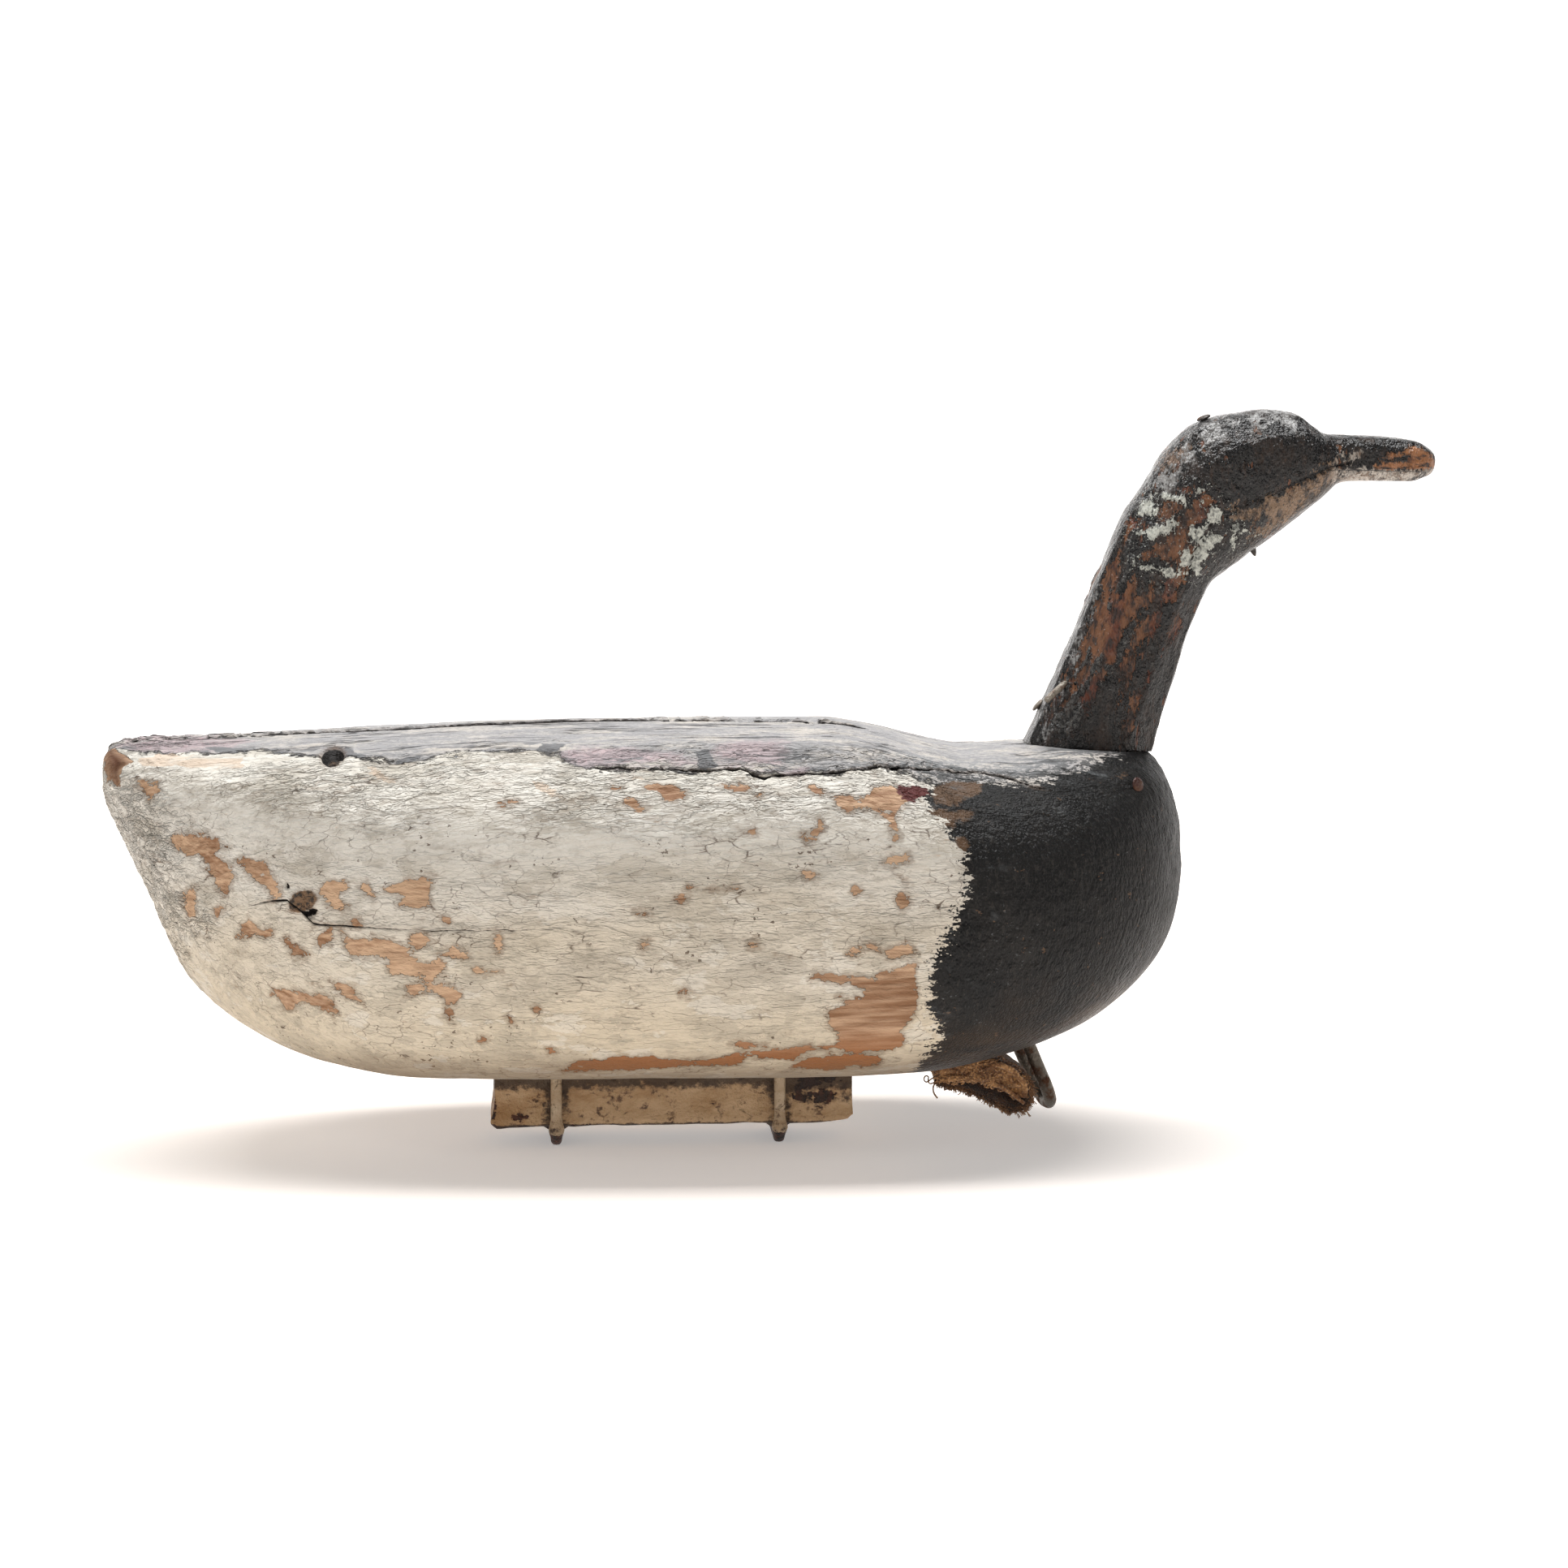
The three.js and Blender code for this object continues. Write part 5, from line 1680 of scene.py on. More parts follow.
    def build(self) -> Piece:
        """Build and dress the body.

        Returns:
            The body's object.
        """
        rings, station, girth, half = self.shape()
        notes = self.notes(rings, station, girth, half)
        out = self.wear(rings, station, girth, notes) * ease(half, 20, 120)
        worn = rings + grid_normals(rings) * out[..., None]
        seat = np.where(station > self.shelf_station + 4, self.seat_level(station), np.inf)
        worn[..., 2] = np.minimum(worn[..., 2], seat)
        start = np.array([shrunk(worn[0], share) for share in self.lead_in])
        start[..., 0] -= np.array(self.lead_in_bulge)[:, None] * 0.3
        count = len(self.lead_in)
        full = {k: np.concatenate([np.repeat(v[:1], count, axis=0), v]) for k, v in notes.items()}
        made = Shell(np.concatenate([start, worn]), full).build("carved_body")
        return dress(made, BodyPaint().make(), "body")


# The head and neck


@dataclass
class HeadAndNeck:
    """The separately carved head and neck, standing on the body's shelf."""

    columns: int = 290
    around: int = 168
    jaw_crack: tuple[tuple[float, float], ...] = (
        (166, 145), (162, 144), (153.5, 142.5), (145, 138.5), (136.5, 135), (125, 130),
        (114, 126.5), (104, 122.5), (97, 119), (90, 112), (86, 104), (83.5, 97), (82, 90),
    )
    crack_depth: float = 1.5
    old_nails: tuple[tuple[float, float], ...] = ((41, 39.3), (37.9, 31.7), (66.3, 81.1))

    def shape(self) -> Array:
        """The smooth head and neck, as rings in the head's own frame.

        Returns:
            The rings.
        """
        index = even_indices(HEAD_RIBS, self.columns, (0.8, 0.8, 0.8, 0.8, 0.8, 0))[:-1]
        back_x, back_z, throat_x, throat_z, half, square = (
            table_rows(HEAD_RIBS, index).T[..., None]
        )
        turn = turns_round(self.around)[None]

        def squared(value: Array) -> Array:
            """A sine or cosine, drawn towards a square."""
            return np.sign(value) * np.abs(value) ** (2 / square)

        # Steps bunch less at the flat sides when the turn is eased
        turn = turn + 0.12 * np.sin(4 * turn)
        rise, wide = squared(np.cos(turn)), squared(np.sin(turn))
        # The knife left flats along the corners: broad behind and on the crown, narrow in front
        bill = ease(back_x, 138, 158)
        for side, limit in ((1, 1.41 + 0.12 * bill), (-1, 1.5)):
            over = np.maximum(side * rise + np.abs(wide) - limit, 0) * (side * rise > 0)
            rise, wide = rise - side * over / 2, wide - np.sign(wide) * over / 2
        share = 0.5 - 0.5 * rise
        x = back_x + share * (throat_x - back_x)
        z = back_z + share * (throat_z - back_z)
        return np.stack([x, -wide * half + 0 * x, z], -1)

    def jaw_gap(self, rings: Array) -> Array:
        """Distance from each point to the jaw's split, seen from the side."""
        crack = np.asarray(self.jaw_crack)
        here = rings[..., None, ::2]
        run = np.diff(crack, axis=0)
        share = ((here - crack[:-1]) * run).sum(-1) / (run * run).sum(-1)
        near = crack[:-1] + np.clip(share, 0, 1)[..., None] * run
        return np.linalg.norm(here - near, axis=-1).min(-1)

    def wear(self, rings: Array) -> tuple[Array, dict[str, Array]]:
        """Relief of the carving, the split and the lost paint.

        Args:
            rings: The smooth head's points.

        Returns:
            How far each point moves outwards in mm, and the distances to each kind of wear.
        """
        bumps = functools.partial(rough_lumps, rings)
        far = ease(rings[..., 1], -4, 10)
        along = rings[..., 0] + far * (14 * bumps(40, 21) + 3)
        up = rings[..., 2] + far * (14 * bumps(40, 22) - 2)
        place = np.stack([along, up], -1)
        notes = {
            key: signed_distance(place, patches(rows), 12.0) for key, rows in HEAD_WEAR.items()
        }
        out = 0.45 * bumps(34, 23) + 0.34 * bumps(10, 24) + 0.16 * bumps(5, 30)
        out += 0.55 * ease(-notes["black"] + 0.8 * bumps(4, 25), -0.5, 0.5)
        out -= 0.3 * ease(-notes["wood"] + 0.8 * bumps(4, 26), -0.6, 0.6)
        out += 0.25 * ease(-notes["white"] + 0.6 * bumps(4, 28), -0.4, 0.4)
        neck = ease(120 - rings[..., 2], 0, 30)
        out += 0.16 * neck * lumps(np.stack([along - 0.42 * up, up / 7], -1), 2.6, 29)
        # The split along the jaw, open on both sides
        gap = self.jaw_gap(rings)
        side = ease(np.abs(rings[..., 1]), 6, 11)
        out -= self.crack_depth * side * np.clip(1 - gap / 1.3, 0, 1)
        notes["seam"] = np.where(side > 0.5, 0.55 - gap, -5.0)
        # The lower half of the bill is set in under a ledge
        ledge = 141.0 - 0.03 * (rings[..., 0] - 165) + 0.5 * bumps(9, 27)
        on_bill = ease(rings[..., 0], 150, 163) * ease(211 - rings[..., 0], 0, 5)
        out -= 0.9 * on_bill * ease(ledge - rings[..., 2], -0.3, 0.6)
        notes["ledge"] = np.where(on_bill > 0.3, 0.35 - np.abs(rings[..., 2] - ledge), -5.0)
        # The heads of old nails under the paint
        for x, z in self.old_nails:
            reach = np.hypot(rings[..., 0] - x, rings[..., 2] - z)
            out += 0.8 * ease(3.4 - reach, 0, 1.6) * (rings[..., 1] < 0)
        return out, notes

    def build(self) -> Piece:
        """Build and dress the head and neck.

        Returns:
            The head's object.
        """
        rings = self.shape()
        out, notes = self.wear(rings)
        worn = rings + grid_normals(rings) * out[..., None] + np.asarray(HEAD_ORIGIN)
        made = Shell(worn, notes).build("carved_head_and_neck")
        return dress(made, HeadPaint().make(), "head_and_neck")


# Ballast and iron


@dataclass
class BallastBar:
    """The iron ballast bar, hollow-sided and thick with paint, swollen at its two staples."""

    rear: float = 196.7
    length: float = 185.0
    width: float = 36.0
    height: float = 34.4
    waist: float = 1.6
    edge: float = 2.6
    top: float = 44.15
    staples: tuple[float, float] = (228.3, 343.7)
    columns: int = 150
    around: int = 120
    end_rings: tuple[float, ...] = (0.96, 0.8, 0.55, 0.25)

    def outline(self) -> Array:
        """One section of the bar as (y, z), evenly stepped from the near lower edge round.

        Returns:
            The section's points.
        """
        half, tall, edge, waist = self.width / 2, self.height, self.edge, self.waist
        side = [
            (half - edge, 0), (half - 0.3 * edge, 0.3 * edge), (half, edge),
            (half - 0.7 * waist, 0.25 * tall), (half - waist, 0.5 * tall),
            (half - 0.8 * waist, 0.8 * tall), (half - 0.4 * waist, tall - 1.2),
            (half - 0.4 * waist - 1.2, tall),
        ]
        loop = np.array(side + [(-y, z) for y, z in side[::-1]] + side[:1], float)
        loop[:, 1] += self.top - tall
        run = travelled(loop)
        return read_path(loop, run, np.linspace(0, run[-1], self.around, endpoint=False))

    def worn_rings(self) -> Array:
        """The bar with its waves, its swellings and its flared ends.

        Returns:
            The rings from end to end.
        """
        x = np.linspace(0, self.length, self.columns)
        rings = np.empty((self.columns, self.around, 3))
        rings[..., 0] = (x + self.rear + TAIL_END)[:, None]
        ends = np.minimum(x, self.length - x)[:, None]
        rear_half = (x < self.length / 2)[:, None]
        middle = np.array([0.0, self.top - self.height / 2])
        pull = 1 - 0.03 * ease(3.0 - ends, 0, 3.0)
        rings[..., 1:] = middle + (self.outline()[None] - middle) * pull[..., None]
        out = 0.45 * rough_lumps(rings, 26, 41) + 0.22 * rough_lumps(rings, 7, 42)
        low = ease(self.top - self.height + 6 - rings[..., 2], 0, 8)
        out += 0.5 * low * lumps(rings[..., :1] + 900, 15, 44)
        out += 1.6 * ease(9 - ends, 0, 9) * low * rear_half
        for station in self.staples:
            off = np.abs(rings[..., 0] - station - TAIL_END)
            across = ease(12.5 - np.abs(rings[..., 1]), 0, 2.5)
            out += 3.9 * ease(9.0 - off, 0, 6.5) * low * across
        worn = rings + grid_normals(rings) * out[..., None]
        # The ends flare at their foot, and their lower corners are rounded off
        above = worn[..., 2] - (self.top - self.height)
        flare = ease(15 - above, 0, 15) * ease(7 - ends, 0, 7)
        worn[..., 0] += np.where(rear_half, -1.9, 0.5) * flare
        worn[..., 2] += 2.0 * (ease(3.6 - ends, 0, 3.6) ** 2 * ease(5 - above, 0, 5))
        tip = 1.5 * ease(x, self.length - 12, self.length)[:, None]
        worn[..., 2] += tip * ease(8 - above, 0, 8)
        worn[..., 2] = np.clip(worn[..., 2], None, self.top - 0.05)
        rear = [shrunk(worn[0], 1 - share) for share in self.end_rings[::-1]]
        front = [shrunk(worn[-1], 1 - share) for share in self.end_rings]
        for ring in (*rear, *front):
            ring[:, 0] += 0.3 * lumps(ring, 6, 43)
        return np.concatenate([np.array(rear), worn, np.array(front)])

    def build(self) -> Piece:
        """Build and dress the bar.

        Returns:
            The bar's object.
        """
        rings = self.worn_rings()
        station = rings[..., 0] - TAIL_END - self.rear
        above = rings[..., 2] - (self.top - self.height)
        wear = 0.62 * ease(station, 150, 158) * ease(182 - station, 0, 10) * ease(above, 6, 14)
        wear += 0.55 * np.exp(-(((station - 13) / 5) ** 2) - ((above - 5) / 3) ** 2)
        wear += 0.45 * ease(2 - station, 0, 2) + 0.45 * ease(2.6 - above, 0, 2.4)
        # Painted shadow and dirt along the bar's top under the body's edge; also darker along its
        # lower edge
        shadow_under_body = ease(above, self.height - 19, self.height - 10)
        dirt = 1.05 * shadow_under_body + 0.9 * ease(2.2 - above, 0, 2)
        dirt += 0.4 * ease(station, 148, 156) * ease(above, 6, 14)
        for at in self.staples:
            dirt += 0.6 * ease(8.5 - np.abs(station + self.rear - at), 0, 5)
        made = Shell(rings, {"wear": wear, "dirt": dirt}).build("iron_ballast_bar")
        return dress(made, IronPaint("painted_ballast").make(), "ballast_bar")


@dataclass
class BallastStaple:
    """A round iron staple under the bar, its legs driven into the body."""

    node: str
    station: float
    seed: int
    rod: float = 5.8
    half_span: float = 21.2
    bend: float = 7.5
    crown: float = 2.55
    top: float = 62.0
    cream: Rgba = linear(204, 184, 156)
    ochre: Rgba = linear(176, 148, 116)
    dark: Rgba = linear(24, 20, 18)

    def build(self) -> Piece:
        """Build and dress the staple.

        Returns:
            The staple's object.
        """
        leg = [(self.half_span, z) for z in (self.top, 40, 20)]
        line = leg + hooked(self.half_span, self.bend, self.crown, 14)
        line += [(-y, z) for y, z in line[::-1]]
        path = smooth_path([(self.station + TAIL_END, y, z) for y, z in line], 1.1)
        rings = swept(path, self.rod / 2, 26)
        height = rings[..., 2]
        swell = 1 + 0.05 * rough_lumps(rings, 6, self.seed)
        # Putty gathered where the leg meets the body and the bar's foot
        high = ease(height, BODY_BOTTOM - 5, BODY_BOTTOM - 0.5)
        swell = swell + 0.22 * high * (height < BODY_BOTTOM)
        swell = swell + 0.42 * np.exp(-(((height - 9.0) / 3.2) ** 2))
        rings = path[:, None] + (rings - path[:, None]) * swell[..., None]
        height = rings[..., 2] = np.maximum(rings[..., 2], 0.02)
        # Darker where the legs go up under the body, as dirt and painted shadow from the body, and
        # darker low down by the bar's foot
        dirt = 0.35 * ease(height, BODY_BOTTOM - 3, BODY_BOTTOM) + 0.3 * ease(13 - height, 0, 5)
        notes = {"wear": 1.1 * ease(8.5 - height, 0, 4.0), "dirt": dirt}
        made = Shell(rings, notes).build(f"{self.node}_rod")
        finish = IronPaint(
            f"painted_{self.node}", cream=self.cream, ochre=self.ochre, dark=self.dark
        )
        return dress(made, finish.make(), self.node)


@dataclass
class AnchorStaple:
    """The anchor-line staple, leaning forwards under the breast."""

    station: float = 469.9
    underside: float = 53.6
    rod: float = 6.8
    span: float = 26.0
    drop: float = 44.0
    lean: float = 23.0
    twist: float = 9.0
    grip: float = 16.0

    def middle_line(self) -> Array:
        """The staple's middle line in the frame, in mm.

        Returns:
            Its corners.
        """
        half = self.span / 2
        line = [(half, self.grip), (half, 0), (half, -14)]
        line += hooked(half, half * 0.92, -self.drop + self.rod / 2, 16)
        line += [(-y, z) for y, z in line[::-1]]
        y, z = np.array(line, float).T
        twist, lean = math.radians(self.twist), math.radians(-self.lean)
        x, y = -y * math.sin(twist), y * math.cos(twist)
        x, z = x * math.cos(lean) + z * math.sin(lean), -x * math.sin(lean) + z * math.cos(lean)
        return np.stack([x + self.station + TAIL_END, y, z + self.underside], 1)

    def build(self) -> Piece:
        """Build and dress the staple.

        Returns:
            The staple's object.
        """
        path = smooth_path(self.middle_line(), 1.1)
        rings = swept(path, self.rod / 2, 26)
        dent = 1 + 0.04 * rough_lumps(rings, 5, 61)
        rings = path[:, None] + (rings - path[:, None]) * dent[..., None]
        made = Shell(rings).build("anchor_staple_rod")
        return dress(made, BareIron("anchor_iron").make(), "anchor_staple")


@dataclass
class Nail:
    """A nail with a hammered head, or a headless one."""

    node: str
    at: Triple
    towards: Triple
    length: float
    headed: bool = True
    shank: float = 3.4
    head: float = 7.6
    thickness: float = 1.8
    seed: int = 1
    iron: Rgba = linear(58, 52, 47)

    def profile(self) -> list[tuple[float, float]]:
        """Radius and height from the point to the head's crown.

        Returns:
            The profile's corners.
        """
        thin, wide, tall = self.shank / 2, self.head / 2, self.thickness
        foot = [(0.25 * thin, 0), (0.7 * thin, 1.5), (thin, 3.4)]
        line = [(radius, rise - self.length) for radius, rise in foot]
        line += [(thin, z) for z in np.linspace(4.5 - self.length, -0.8, 12)]
        if not self.headed:
            return line + [(thin, 0.8), (thin * 0.85, 1.4), (thin * 0.4, tall), (thin * 0.1, tall)]
        line += [(thin * 1.15, -0.3), (wide * 0.9, 0.0), (wide, 0.35), (wide, 0.9)]
        line += [(wide * 0.9, 0.7 * tall), (wide * 0.7, 0.92 * tall)]
        return line + [(wide * 0.35, tall), (wide * 0.1, tall)]

    def build(self) -> Piece:
        """Build and dress the nail.

        Returns:
            The nail's object.
        """
        rings = turned(self.profile(), 28)
        dent = 1 + 0.06 * rough_lumps(rings + 50.0 * self.seed, 3, self.seed)
        rings[..., :2] *= dent[..., None]
        turn = Vector((0, 0, -1)).rotation_difference(Vector(self.towards).normalized())
        placed = rings @ np.array(turn.to_matrix()).T + np.asarray(self.at)
        made = Shell(placed).build(f"{self.node}_iron")
        finish = BareIron(f"{self.node}_rust", iron=self.iron, metal=0.2)
        return dress(made, finish.make(), self.node)


# The folded webbing


@dataclass
class FrayedStrap:
    """The folded scrap of carpet webbing: the cloth, its looped pile, hem and loose threads."""

    width: float = 34.0
    thickness: float = 2.6
    near_y: float = -27.0
    tacked: int = 3
    seed: int = 77
    loops: int = 620
    tufts: int = 230
    # The cloth's near and far edges in the XZ plane, from where it is tacked round its fold
    near_line: Outline = (
        (83, 44), (92, 45), (103, 46), (110, 46), (117, 43.4), (124, 39.6), (129, 34.6),
        (130.8, 28.5), (130.4, 21.8), (127, 17.6), (122, 16.4), (117, 17.6), (111.4, 20.8),
        (105.5, 23.6), (99.6, 26.6), (92.8, 28.6), (86.5, 30.2), (81.5, 32),
    )
    far_line: Outline = (
        (83, 44), (92, 45), (103, 46), (110.5, 45.4), (116.5, 41.8), (123.5, 37.8), (128.6, 33.8),
        (130.8, 30), (130, 27), (126.5, 26), (122.4, 27.4), (117.3, 30), (112.2, 32.4),
        (106.3, 34.2), (100.4, 35.6), (93, 35.6), (87, 35.4), (82, 35.4),
    )
    wad: Outline = (
        (81.5, 41.5), (91, 43.2), (101, 44.6), (108.5, 43.8), (114.5, 41), (121.6, 37.4),
        (127.2, 33.2), (129.6, 28.6), (128.4, 24.2), (124.9, 23.6), (119.8, 26.3), (113.9, 29.4),
        (107.6, 32), (100.4, 33.8), (92.8, 33.6), (86.5, 33.2), (81, 34.6),
    )
    # Rolled edges on the wad's face: line, thickness and how far they stand out
    rolls: tuple[tuple[Outline, float, float], ...] = (
        (((83.5, 34), (92.8, 34.3), (100.4, 34.2), (106.3, 32.6), (112.2, 30.9), (117.3, 28.3),
          (122.4, 24.9), (127.2, 21)), 1.0, 1.6),
        (((108.5, 40.3), (113.5, 41.2), (118.6, 39.6), (123.2, 36.4), (126.8, 31.9),
          (127.8, 27.4)), 1.5, 1.4),
    )
    # Hollows in the wad's face: place, half their length and height, depth
    hollows: tuple[tuple[float, float, float, float, float], ...] = (
        (121.5, 27.6, 4.5, 2.0, 6.0), (114.5, 31.4, 2.5, 1.2, 3.0),
        (119.5, 33.5, 5.5, 2.4, 3.2), (90.0, 36.3, 4.0, 0.8, 2.5),
    )
    face_rings: tuple[float, ...] = (0.08, 0.2, 0.32, 0.44, 0.56, 0.68, 0.8, 0.9, 0.97)
    # Loose threads: radius and line
    strays: tuple[tuple[float, Outline], ...] = (
        (0.4, ((84, 37), (79.5, 34.5), (76.6, 32.6), (75.2, 34), (75.9, 35.8), (77.5, 35.4),
               (77.4, 33.2), (78.4, 31.7), (80.5, 32.4), (83, 33.5))),
        (0.45, ((82.5, 32.8), (80.4, 31), (80, 28.4), (80.8, 26), (82.3, 24.1))),
        (0.3, ((126, 19), (128.4, 17), (129.6, 15.2), (130.9, 13.9))),
        (0.24, ((127.5, 17.5), (129, 15.8), (130.2, 13.6))),
        (0.3, ((117, 44), (115.2, 45.6), (113, 45.4))),
    )
    backing: CarpetWebbing = CarpetWebbing(
        "webbing", linear(146, 104, 68), linear(58, 40, 28), 1.1
    )
    looped: CarpetWebbing = CarpetWebbing(
        "webbing_loops", linear(224, 172, 116), linear(126, 86, 54), 1.5
    )
    threads: CarpetWebbing = CarpetWebbing(
        "webbing_threads", linear(186, 136, 88), linear(92, 62, 40), 0.8
    )

    def underside(self, station: float) -> float:
        """Height of the body's underside on its middle line at a station."""
        rows = table_rows(BODY_LINES, np.linspace(0, len(BODY_LINES) - 1, 900))
        return BODY_BOTTOM + float(np.interp(station, rows[:, 0], rows[:, 2]))

    def edge(self, line: Outline, y: float, count: int = 118) -> Array:
        """One edge of the cloth, its tacked corners lifted to the body.

        Args:
            line: The edge's corners as (x, z).
            y: The edge's place across the cloth.
            count: Points along the edge.

        Returns:
            The edge's points.
        """
        corners = upright(line, y)
        for corner in corners[: self.tacked]:
            corner[2] = self.underside(corner[0] - TAIL_END) - 1.9
        path = smooth_path(corners, 0.8)
        return read_path(path, np.arange(len(path)), np.linspace(0, len(path) - 1, count))

    def build(self) -> list[Piece]:
        """Build and dress the cloth, its pile and its threads.

        Returns:
            The cloth first, then what is on it.
        """
        near = self.edge(self.near_line, self.near_y)
        far = self.edge(self.far_line, self.near_y + self.width)
        share = np.linspace(0, 1, 40)[None, :, None]
        grid = near[:, None] * (1 - share) + far[:, None] * share
        outward = grid_normals(grid)
        free = ease(np.arange(len(near)), 18, 40)[:, None]
        grid = grid + outward * (0.8 * lumps(grid, 13, self.seed) * free)[..., None]
        rough = rough_lumps(grid, 2.6, self.seed + 1)
        edge = ease(0.5 - np.abs(share[..., 0] - 0.5), 0, 0.06)
        thick = self.thickness / 2 * (0.4 + 0.6 * edge)
        upper = grid + outward * (thick + 0.3 * rough)[..., None]
        lower = grid - outward * (thick - 0.3 * rough)[..., None]
        rings = np.concatenate([upper, lower[:, ::-1]], axis=1)
        cloth = Shell(rings).build("webbing_scrap")
        dress(cloth, self.backing.make(), "frayed_strap")
        extras = [self.pile(), self.fringe(near)]
        return [cloth, *extras]

    def gathered(self, name: str, tubes: Sequence[Array], finish: CarpetWebbing) -> Piece:
        """Join many small closed shells into one piece.

        Args:
            name: The piece's name.
            tubes: Rings of each shell.
            finish: What it is made of.

        Returns:
            The piece's object.
        """
        points: list[Array] = []
        faces: list[tuple[int, ...]] = []
        offset = 0
        for shell in map(Shell, tubes):
            points.append(shell.points())
            faces += [tuple(c + offset for c in f) for f in shell.faces()]
            offset += len(points[-1])
        return dress(make_object(name, np.vstack(points), faces), finish.make())

    def pile(self) -> Piece:
        """The wad of looped pile between the folds, its hem and its rolled ridge.

        Returns:
            The pile's object.
        """
        random = np.random.default_rng(self.seed + 5)
        loop = smooth_path(upright((*self.wad, self.wad[0]), 0.0), 0.9)[:-1]
        middle = loop.mean(0)
        rings = []
        for share in self.face_rings:
            ring = middle + (loop - middle) * share
            ring[:, 1] = self.near_y - 0.6 - 1.6 * (1 - share**2)
            rings.append(ring)
        for back in np.linspace(0, self.width - 4, 16):
            ring = loop.copy()
            ring[:, 1] = self.near_y + 0.3 + back
            rings.append(ring)
        wad = np.array(rings)
        front = ease(self.near_y + 1.5 - wad[..., 1], 0, 1.5)
        hollow = np.zeros(wad.shape[:2])
        for x, z, long, tall, deep in self.hollows:
            reach = ((wad[..., 0] - x) / long) ** 2 + ((wad[..., 2] - z) / tall) ** 2
            hollow += deep * np.exp(-reach)
        wad[..., 1] += front * hollow
        wad = wad + grid_normals(wad) * rough_lumps(wad, 3.2, self.seed + 2)[..., None]
        tubes = [wad]
        for line, thick, out in self.rolls:
            rope = smooth_path(upright(line, self.near_y - out), 0.8)
            rope += 0.35 * np.stack([lumps(rope, 5, self.seed + k) for k in (6, 7, 8)], 1)
            swell = swept(rope, thick, 9)
            twist = 1 + 0.22 * lumps(swell, 2.2, 9)
            tubes.append(rope[:, None] + (swell - rope[:, None]) * twist[..., None])
        spots = np.flatnonzero((front * (hollow < 1.6)).ravel() > 0.2)
        flat = wad.reshape(-1, 3)
        for _ in range(self.loops):
            at = flat[int(random.choice(spots))] + random.normal(0, (0.9, 0.25, 0.9))
            size = random.uniform(0.65, 1.25)
            axis = random.normal(0, 1, 3)
            axis /= np.linalg.norm(axis)
            side = np.cross(axis, (0.3, 1.0, 0.2))
            side /= np.linalg.norm(side)
            turns = np.linspace(0, random.uniform(3.4, 5.4), 8)[:, None]
            arc = at + size * (np.cos(turns) * side + np.sin(turns) * np.cross(axis, side))
            tubes.append(swept(arc, random.uniform(0.24, 0.42), 5))
        return self.gathered("webbing_pile", tubes, self.looped)

    def fringe(self, near: Array) -> Piece:
        """Frayed tufts along the lower edge and the free end, and threads at the rear.

        Args:
            near: The cloth's near edge.

        Returns:
            The fringe's object.
        """
        random = np.random.default_rng(self.seed)
        tubes: list[Array] = []
        first = int(0.4 * len(near))
        for _ in range(self.tufts):
            row = int(random.integers(first, len(near)))
            root = near[row] + random.normal(0, (0.5, 0.5, 0.3))
            front = float(ease(near[row, 0], 118, 129))
            lean = np.array([0.1 + 0.8 * front, -0.4, -1.0]) + random.normal(0, (0.5, 0.4, 0.25))
            long = random.uniform(0.7, 2.3) + front * random.uniform(0, 2.0)
            for _ in range(3):
                base = root + random.normal(0, 0.35, 3)
                away = lean + random.normal(0, 0.28, 3)
                away /= np.linalg.norm(away)
                reach = long * random.uniform(0.7, 1.1)
                bend = base + away * reach * 0.5 + random.normal(0, 0.18, 3)
                thread = smooth_path([base, bend, base + away * reach], 0.7)
                tubes.append(swept(thread, random.uniform(0.14, 0.26), 5))
        for thick, line in self.strays:
            tubes.append(swept(smooth_path(upright(line, self.near_y - 0.6), 0.7), thick, 6))
        return self.gathered("webbing_fringe", tubes, self.threads)


# Studio


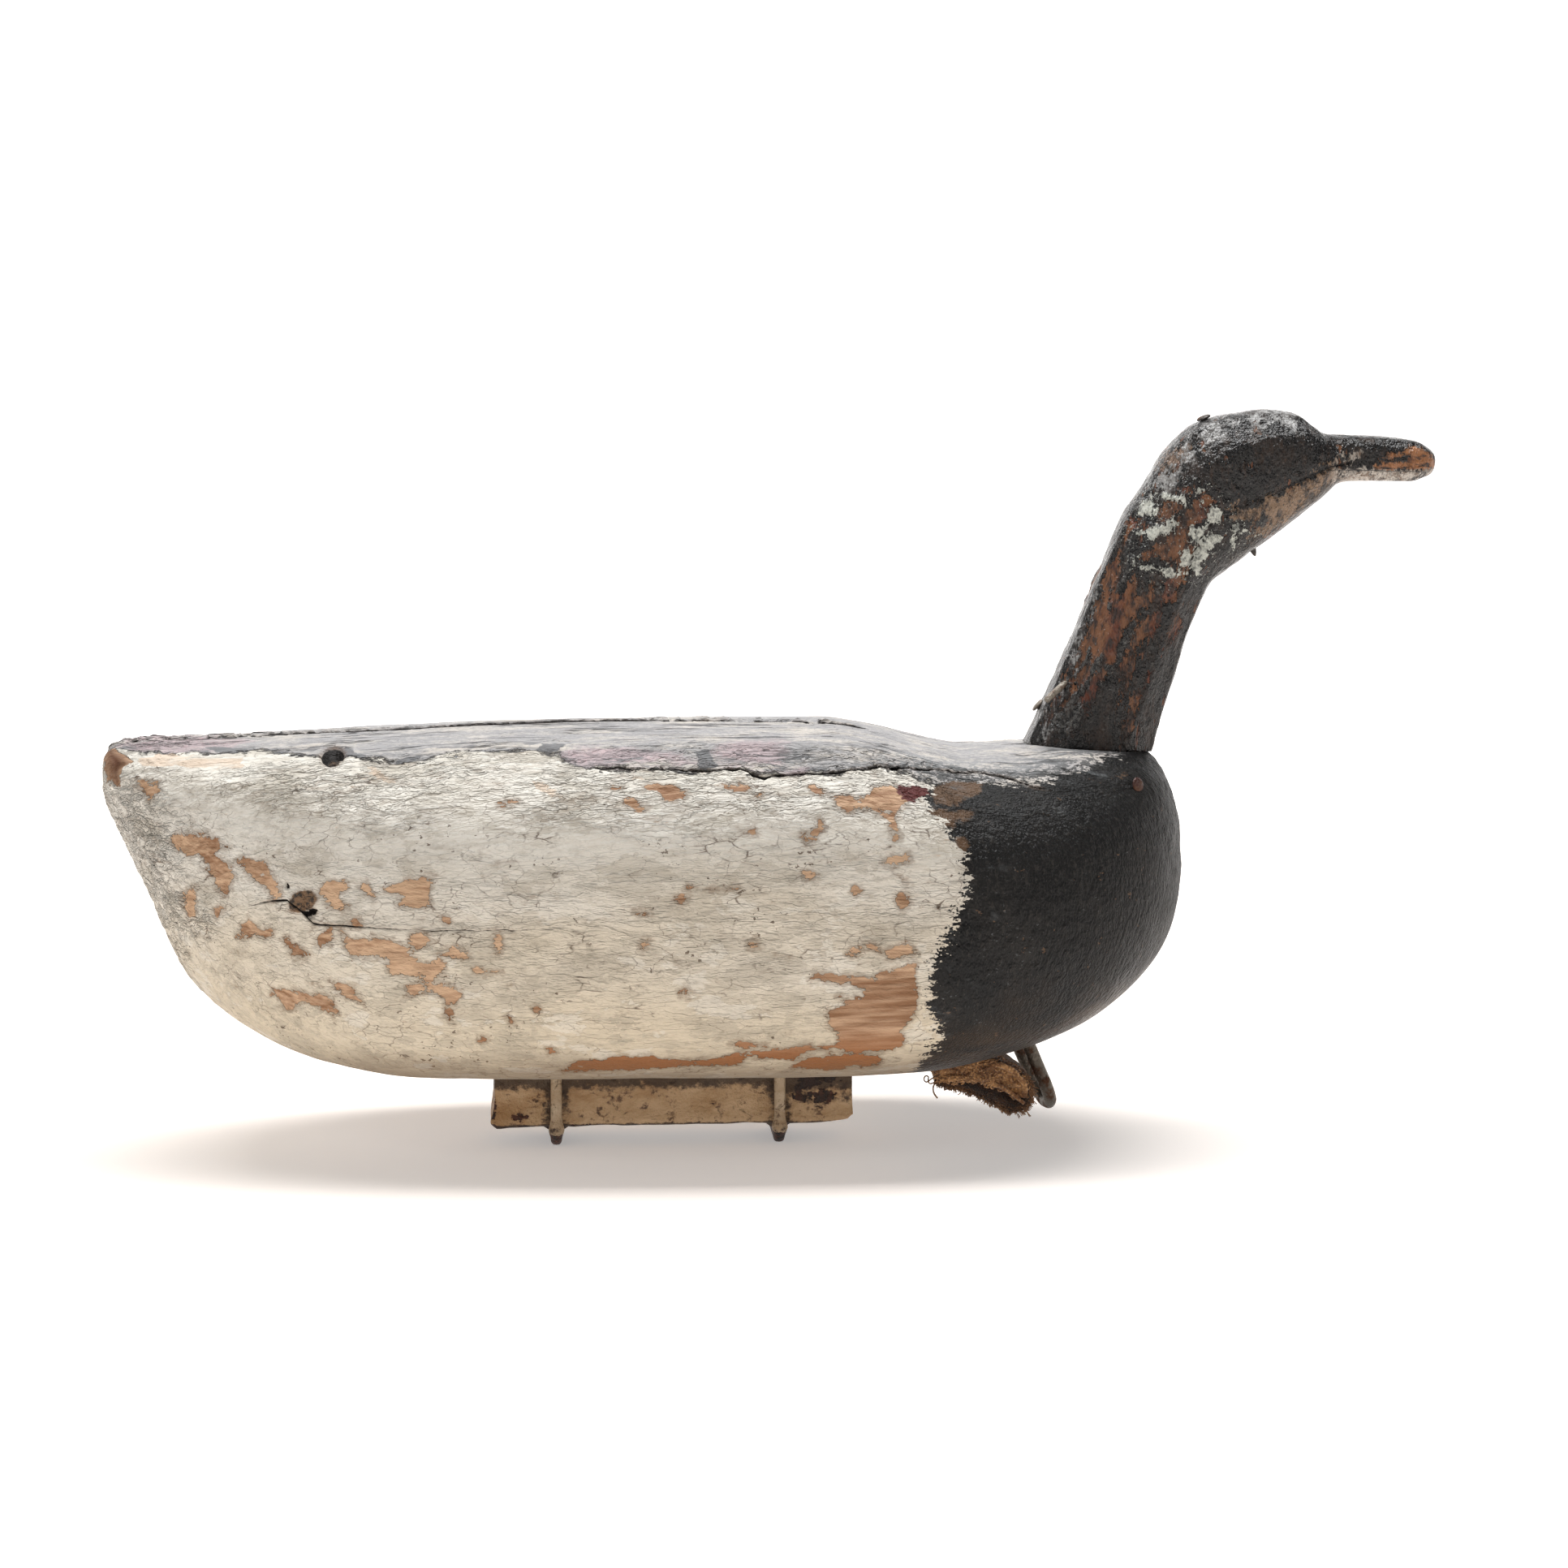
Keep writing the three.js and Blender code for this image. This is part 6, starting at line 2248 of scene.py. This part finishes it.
@dataclass
class Studio:
    """A pale floor that sweeps up behind, soft lights and the camera."""

    azimuth: float = -4.0
    elevation: float = 7.0
    distance: float = 2300.0
    mm_per_pixel: float = 0.42
    picture: int = 1932
    sensor: float = 36.0
    aim: Triple = (4.65, 0.0, 185.0)
    floor_tones: tuple[Rgba, Rgba] = (linear(240, 232, 225), linear(244, 236, 230))
    floor_glow: tuple[float, float] = (0.3, 1.02)  # underfoot and far behind
    air: Rgba = linear(250, 249, 248)
    air_strength: float = 0.08
    # Soft boxes: name, place in metres, width, height and watts
    boxes: tuple[tuple[str, Triple, float, float, float], ...] = (
        ("soft_top", (0.0, 0.25, 1.65), 1.9, 0.8, 46.0),
        ("soft_left", (-1.5, -1.6, 1.3), 1.0, 1.0, 9.0),
        ("soft_right", (1.9, -0.3, 0.9), 0.9, 1.2, 2.0),
        ("soft_back", (0.2, 2.0, 0.75), 2.6, 1.0, 9.0),
    )

    def aimed(self, made: Piece, at: Vector, heading: Vector) -> Piece:
        """Put a camera or a light in its place, in metres, facing a heading."""
        made.location = at
        made.rotation_mode = "QUATERNION"
        made.rotation_quaternion = heading.to_track_quat("-Z", "Y")
        return made

    def camera(self) -> Piece:
        """Place the camera at the picture's viewing angle.

        Returns:
            The camera's object.
        """
        az, el = math.radians(self.azimuth), math.radians(self.elevation)
        back = Vector((math.sin(az) * math.cos(el), -math.cos(az) * math.cos(el), math.sin(el)))
        data = bpy.data.cameras.new("camera")
        data.sensor_width = self.sensor
        data.lens = self.sensor * self.distance / (self.picture * self.mm_per_pixel)
        at = (Vector(self.aim) + back * self.distance) * MM
        return self.aimed(linked("camera", data), at, -back)

    def sweep(self) -> Piece:
        """A floor that curves up into a backdrop, all round.

        Returns:
            The floor's object.
        """
        bend = np.linspace(0.1, 1.5, 12)
        radii = np.r_[np.linspace(0.05, 2.6, 14), 2.6 + 1.4 * np.sin(bend)]
        rise = np.r_[np.zeros(14), 1.4 - 1.4 * np.cos(bend)]
        shell = Shell(turned(zip(radii, rise), 72) / MM, caps=False)
        faces = [*shell.faces(), tuple(range(71, -1, -1))]
        made = make_object("floor_sweep", shell.points(), faces)
        g = Graph("studio_white")
        tone = g.mix(g.rise(g.noise(400, 0, 0.55), -0.5, 0.5), *self.floor_tones)
        glow = g.blend(g.rise(g.axes()[1], 350, 1100), *self.floor_glow)
        material = g.finish(
            tone, 0.8, None, Specular_IOR_Level=0.0, Emission_Color=linear(255, 255, 255),
            Emission_Strength=glow,
        )
        # The glow is broad, so rays find it without lamps' sampling
        material.cycles.emission_sampling = "NONE"
        made.data.materials.append(material)
        return made

    def build(self) -> None:
        """Set the floor, the lights, the surroundings and the camera."""
        scene = bpy.context.scene
        self.sweep()
        for name, at, width, height, power in self.boxes:
            data = bpy.data.lights.new(name, "AREA")
            data.shape = "RECTANGLE"
            data.size, data.size_y, data.energy = width, height, power
            place = Vector(at)
            self.aimed(linked(name, data), place, Vector((0.0, 0.0, 0.15)) - place)
        world = bpy.data.worlds.new("studio_air")
        world.use_nodes = True
        air = world.node_tree.nodes["Background"]
        air.inputs["Color"].default_value = self.air
        air.inputs["Strength"].default_value = self.air_strength
        scene.world = world
        scene.view_settings.view_transform = "Standard"
        scene.camera = self.camera()


def nails() -> list[Nail]:
    """The nails of the head, the neck and the breast, placed on what they hold.

    Returns:
        The nails, not yet built.
    """
    ox, _, oz = HEAD_ORIGIN
    crown, throat = (ox + 92.2, 0.0, oz + 167), (ox + 119, 0.0, oz + 98)
    down = tuple(b - a for a, b in zip(crown, throat))
    low, high = (Vector(corner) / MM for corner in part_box("breast_nail"))
    breast_at = (high.x - 2.2, low.y + 3.6, high.z - 3.6)
    return [
        Nail("head_nail", crown, down, math.dist(crown, throat) + 2, seed=2),
        Nail(
            "neck_nail_rear", (ox + 7.9, 4, oz + 18.6), (0.74, -0.04, -0.67), 38, seed=3,
            iron=linear(120, 110, 98),
        ),
        Nail(
            "neck_nail_side", (ox + 9.4, -20.5, oz + 24.6), (0.66, 0.5, 0.5), 16, headed=False,
            seed=4, iron=linear(138, 130, 118),
        ),
        Nail("breast_nail", breast_at, (-0.62, 0.75, -0.2), 24, seed=5, iron=linear(62, 30, 22)),
    ]


def main() -> None:
    """Load the frame, build every piece in order and report it."""
    logging.basicConfig(level=logging.INFO, format="%(message)s")
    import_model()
    bar = BallastBar()
    parts = [BodyBlock(), HeadAndNeck(), bar]
    parts.append(BallastStaple("ballast_staple_rear", bar.staples[0], 51))
    parts.append(BallastStaple("ballast_staple_front", bar.staples[1], 52))
    pieces = [part.build() for part in (*parts, AnchorStaple(), *nails())]
    pieces += FrayedStrap().build()
    Studio().build()
    for made in pieces:
        LOG.info("%s: %d faces", made.name, len(made.data.polygons))


if __name__ == "__main__":
    main()
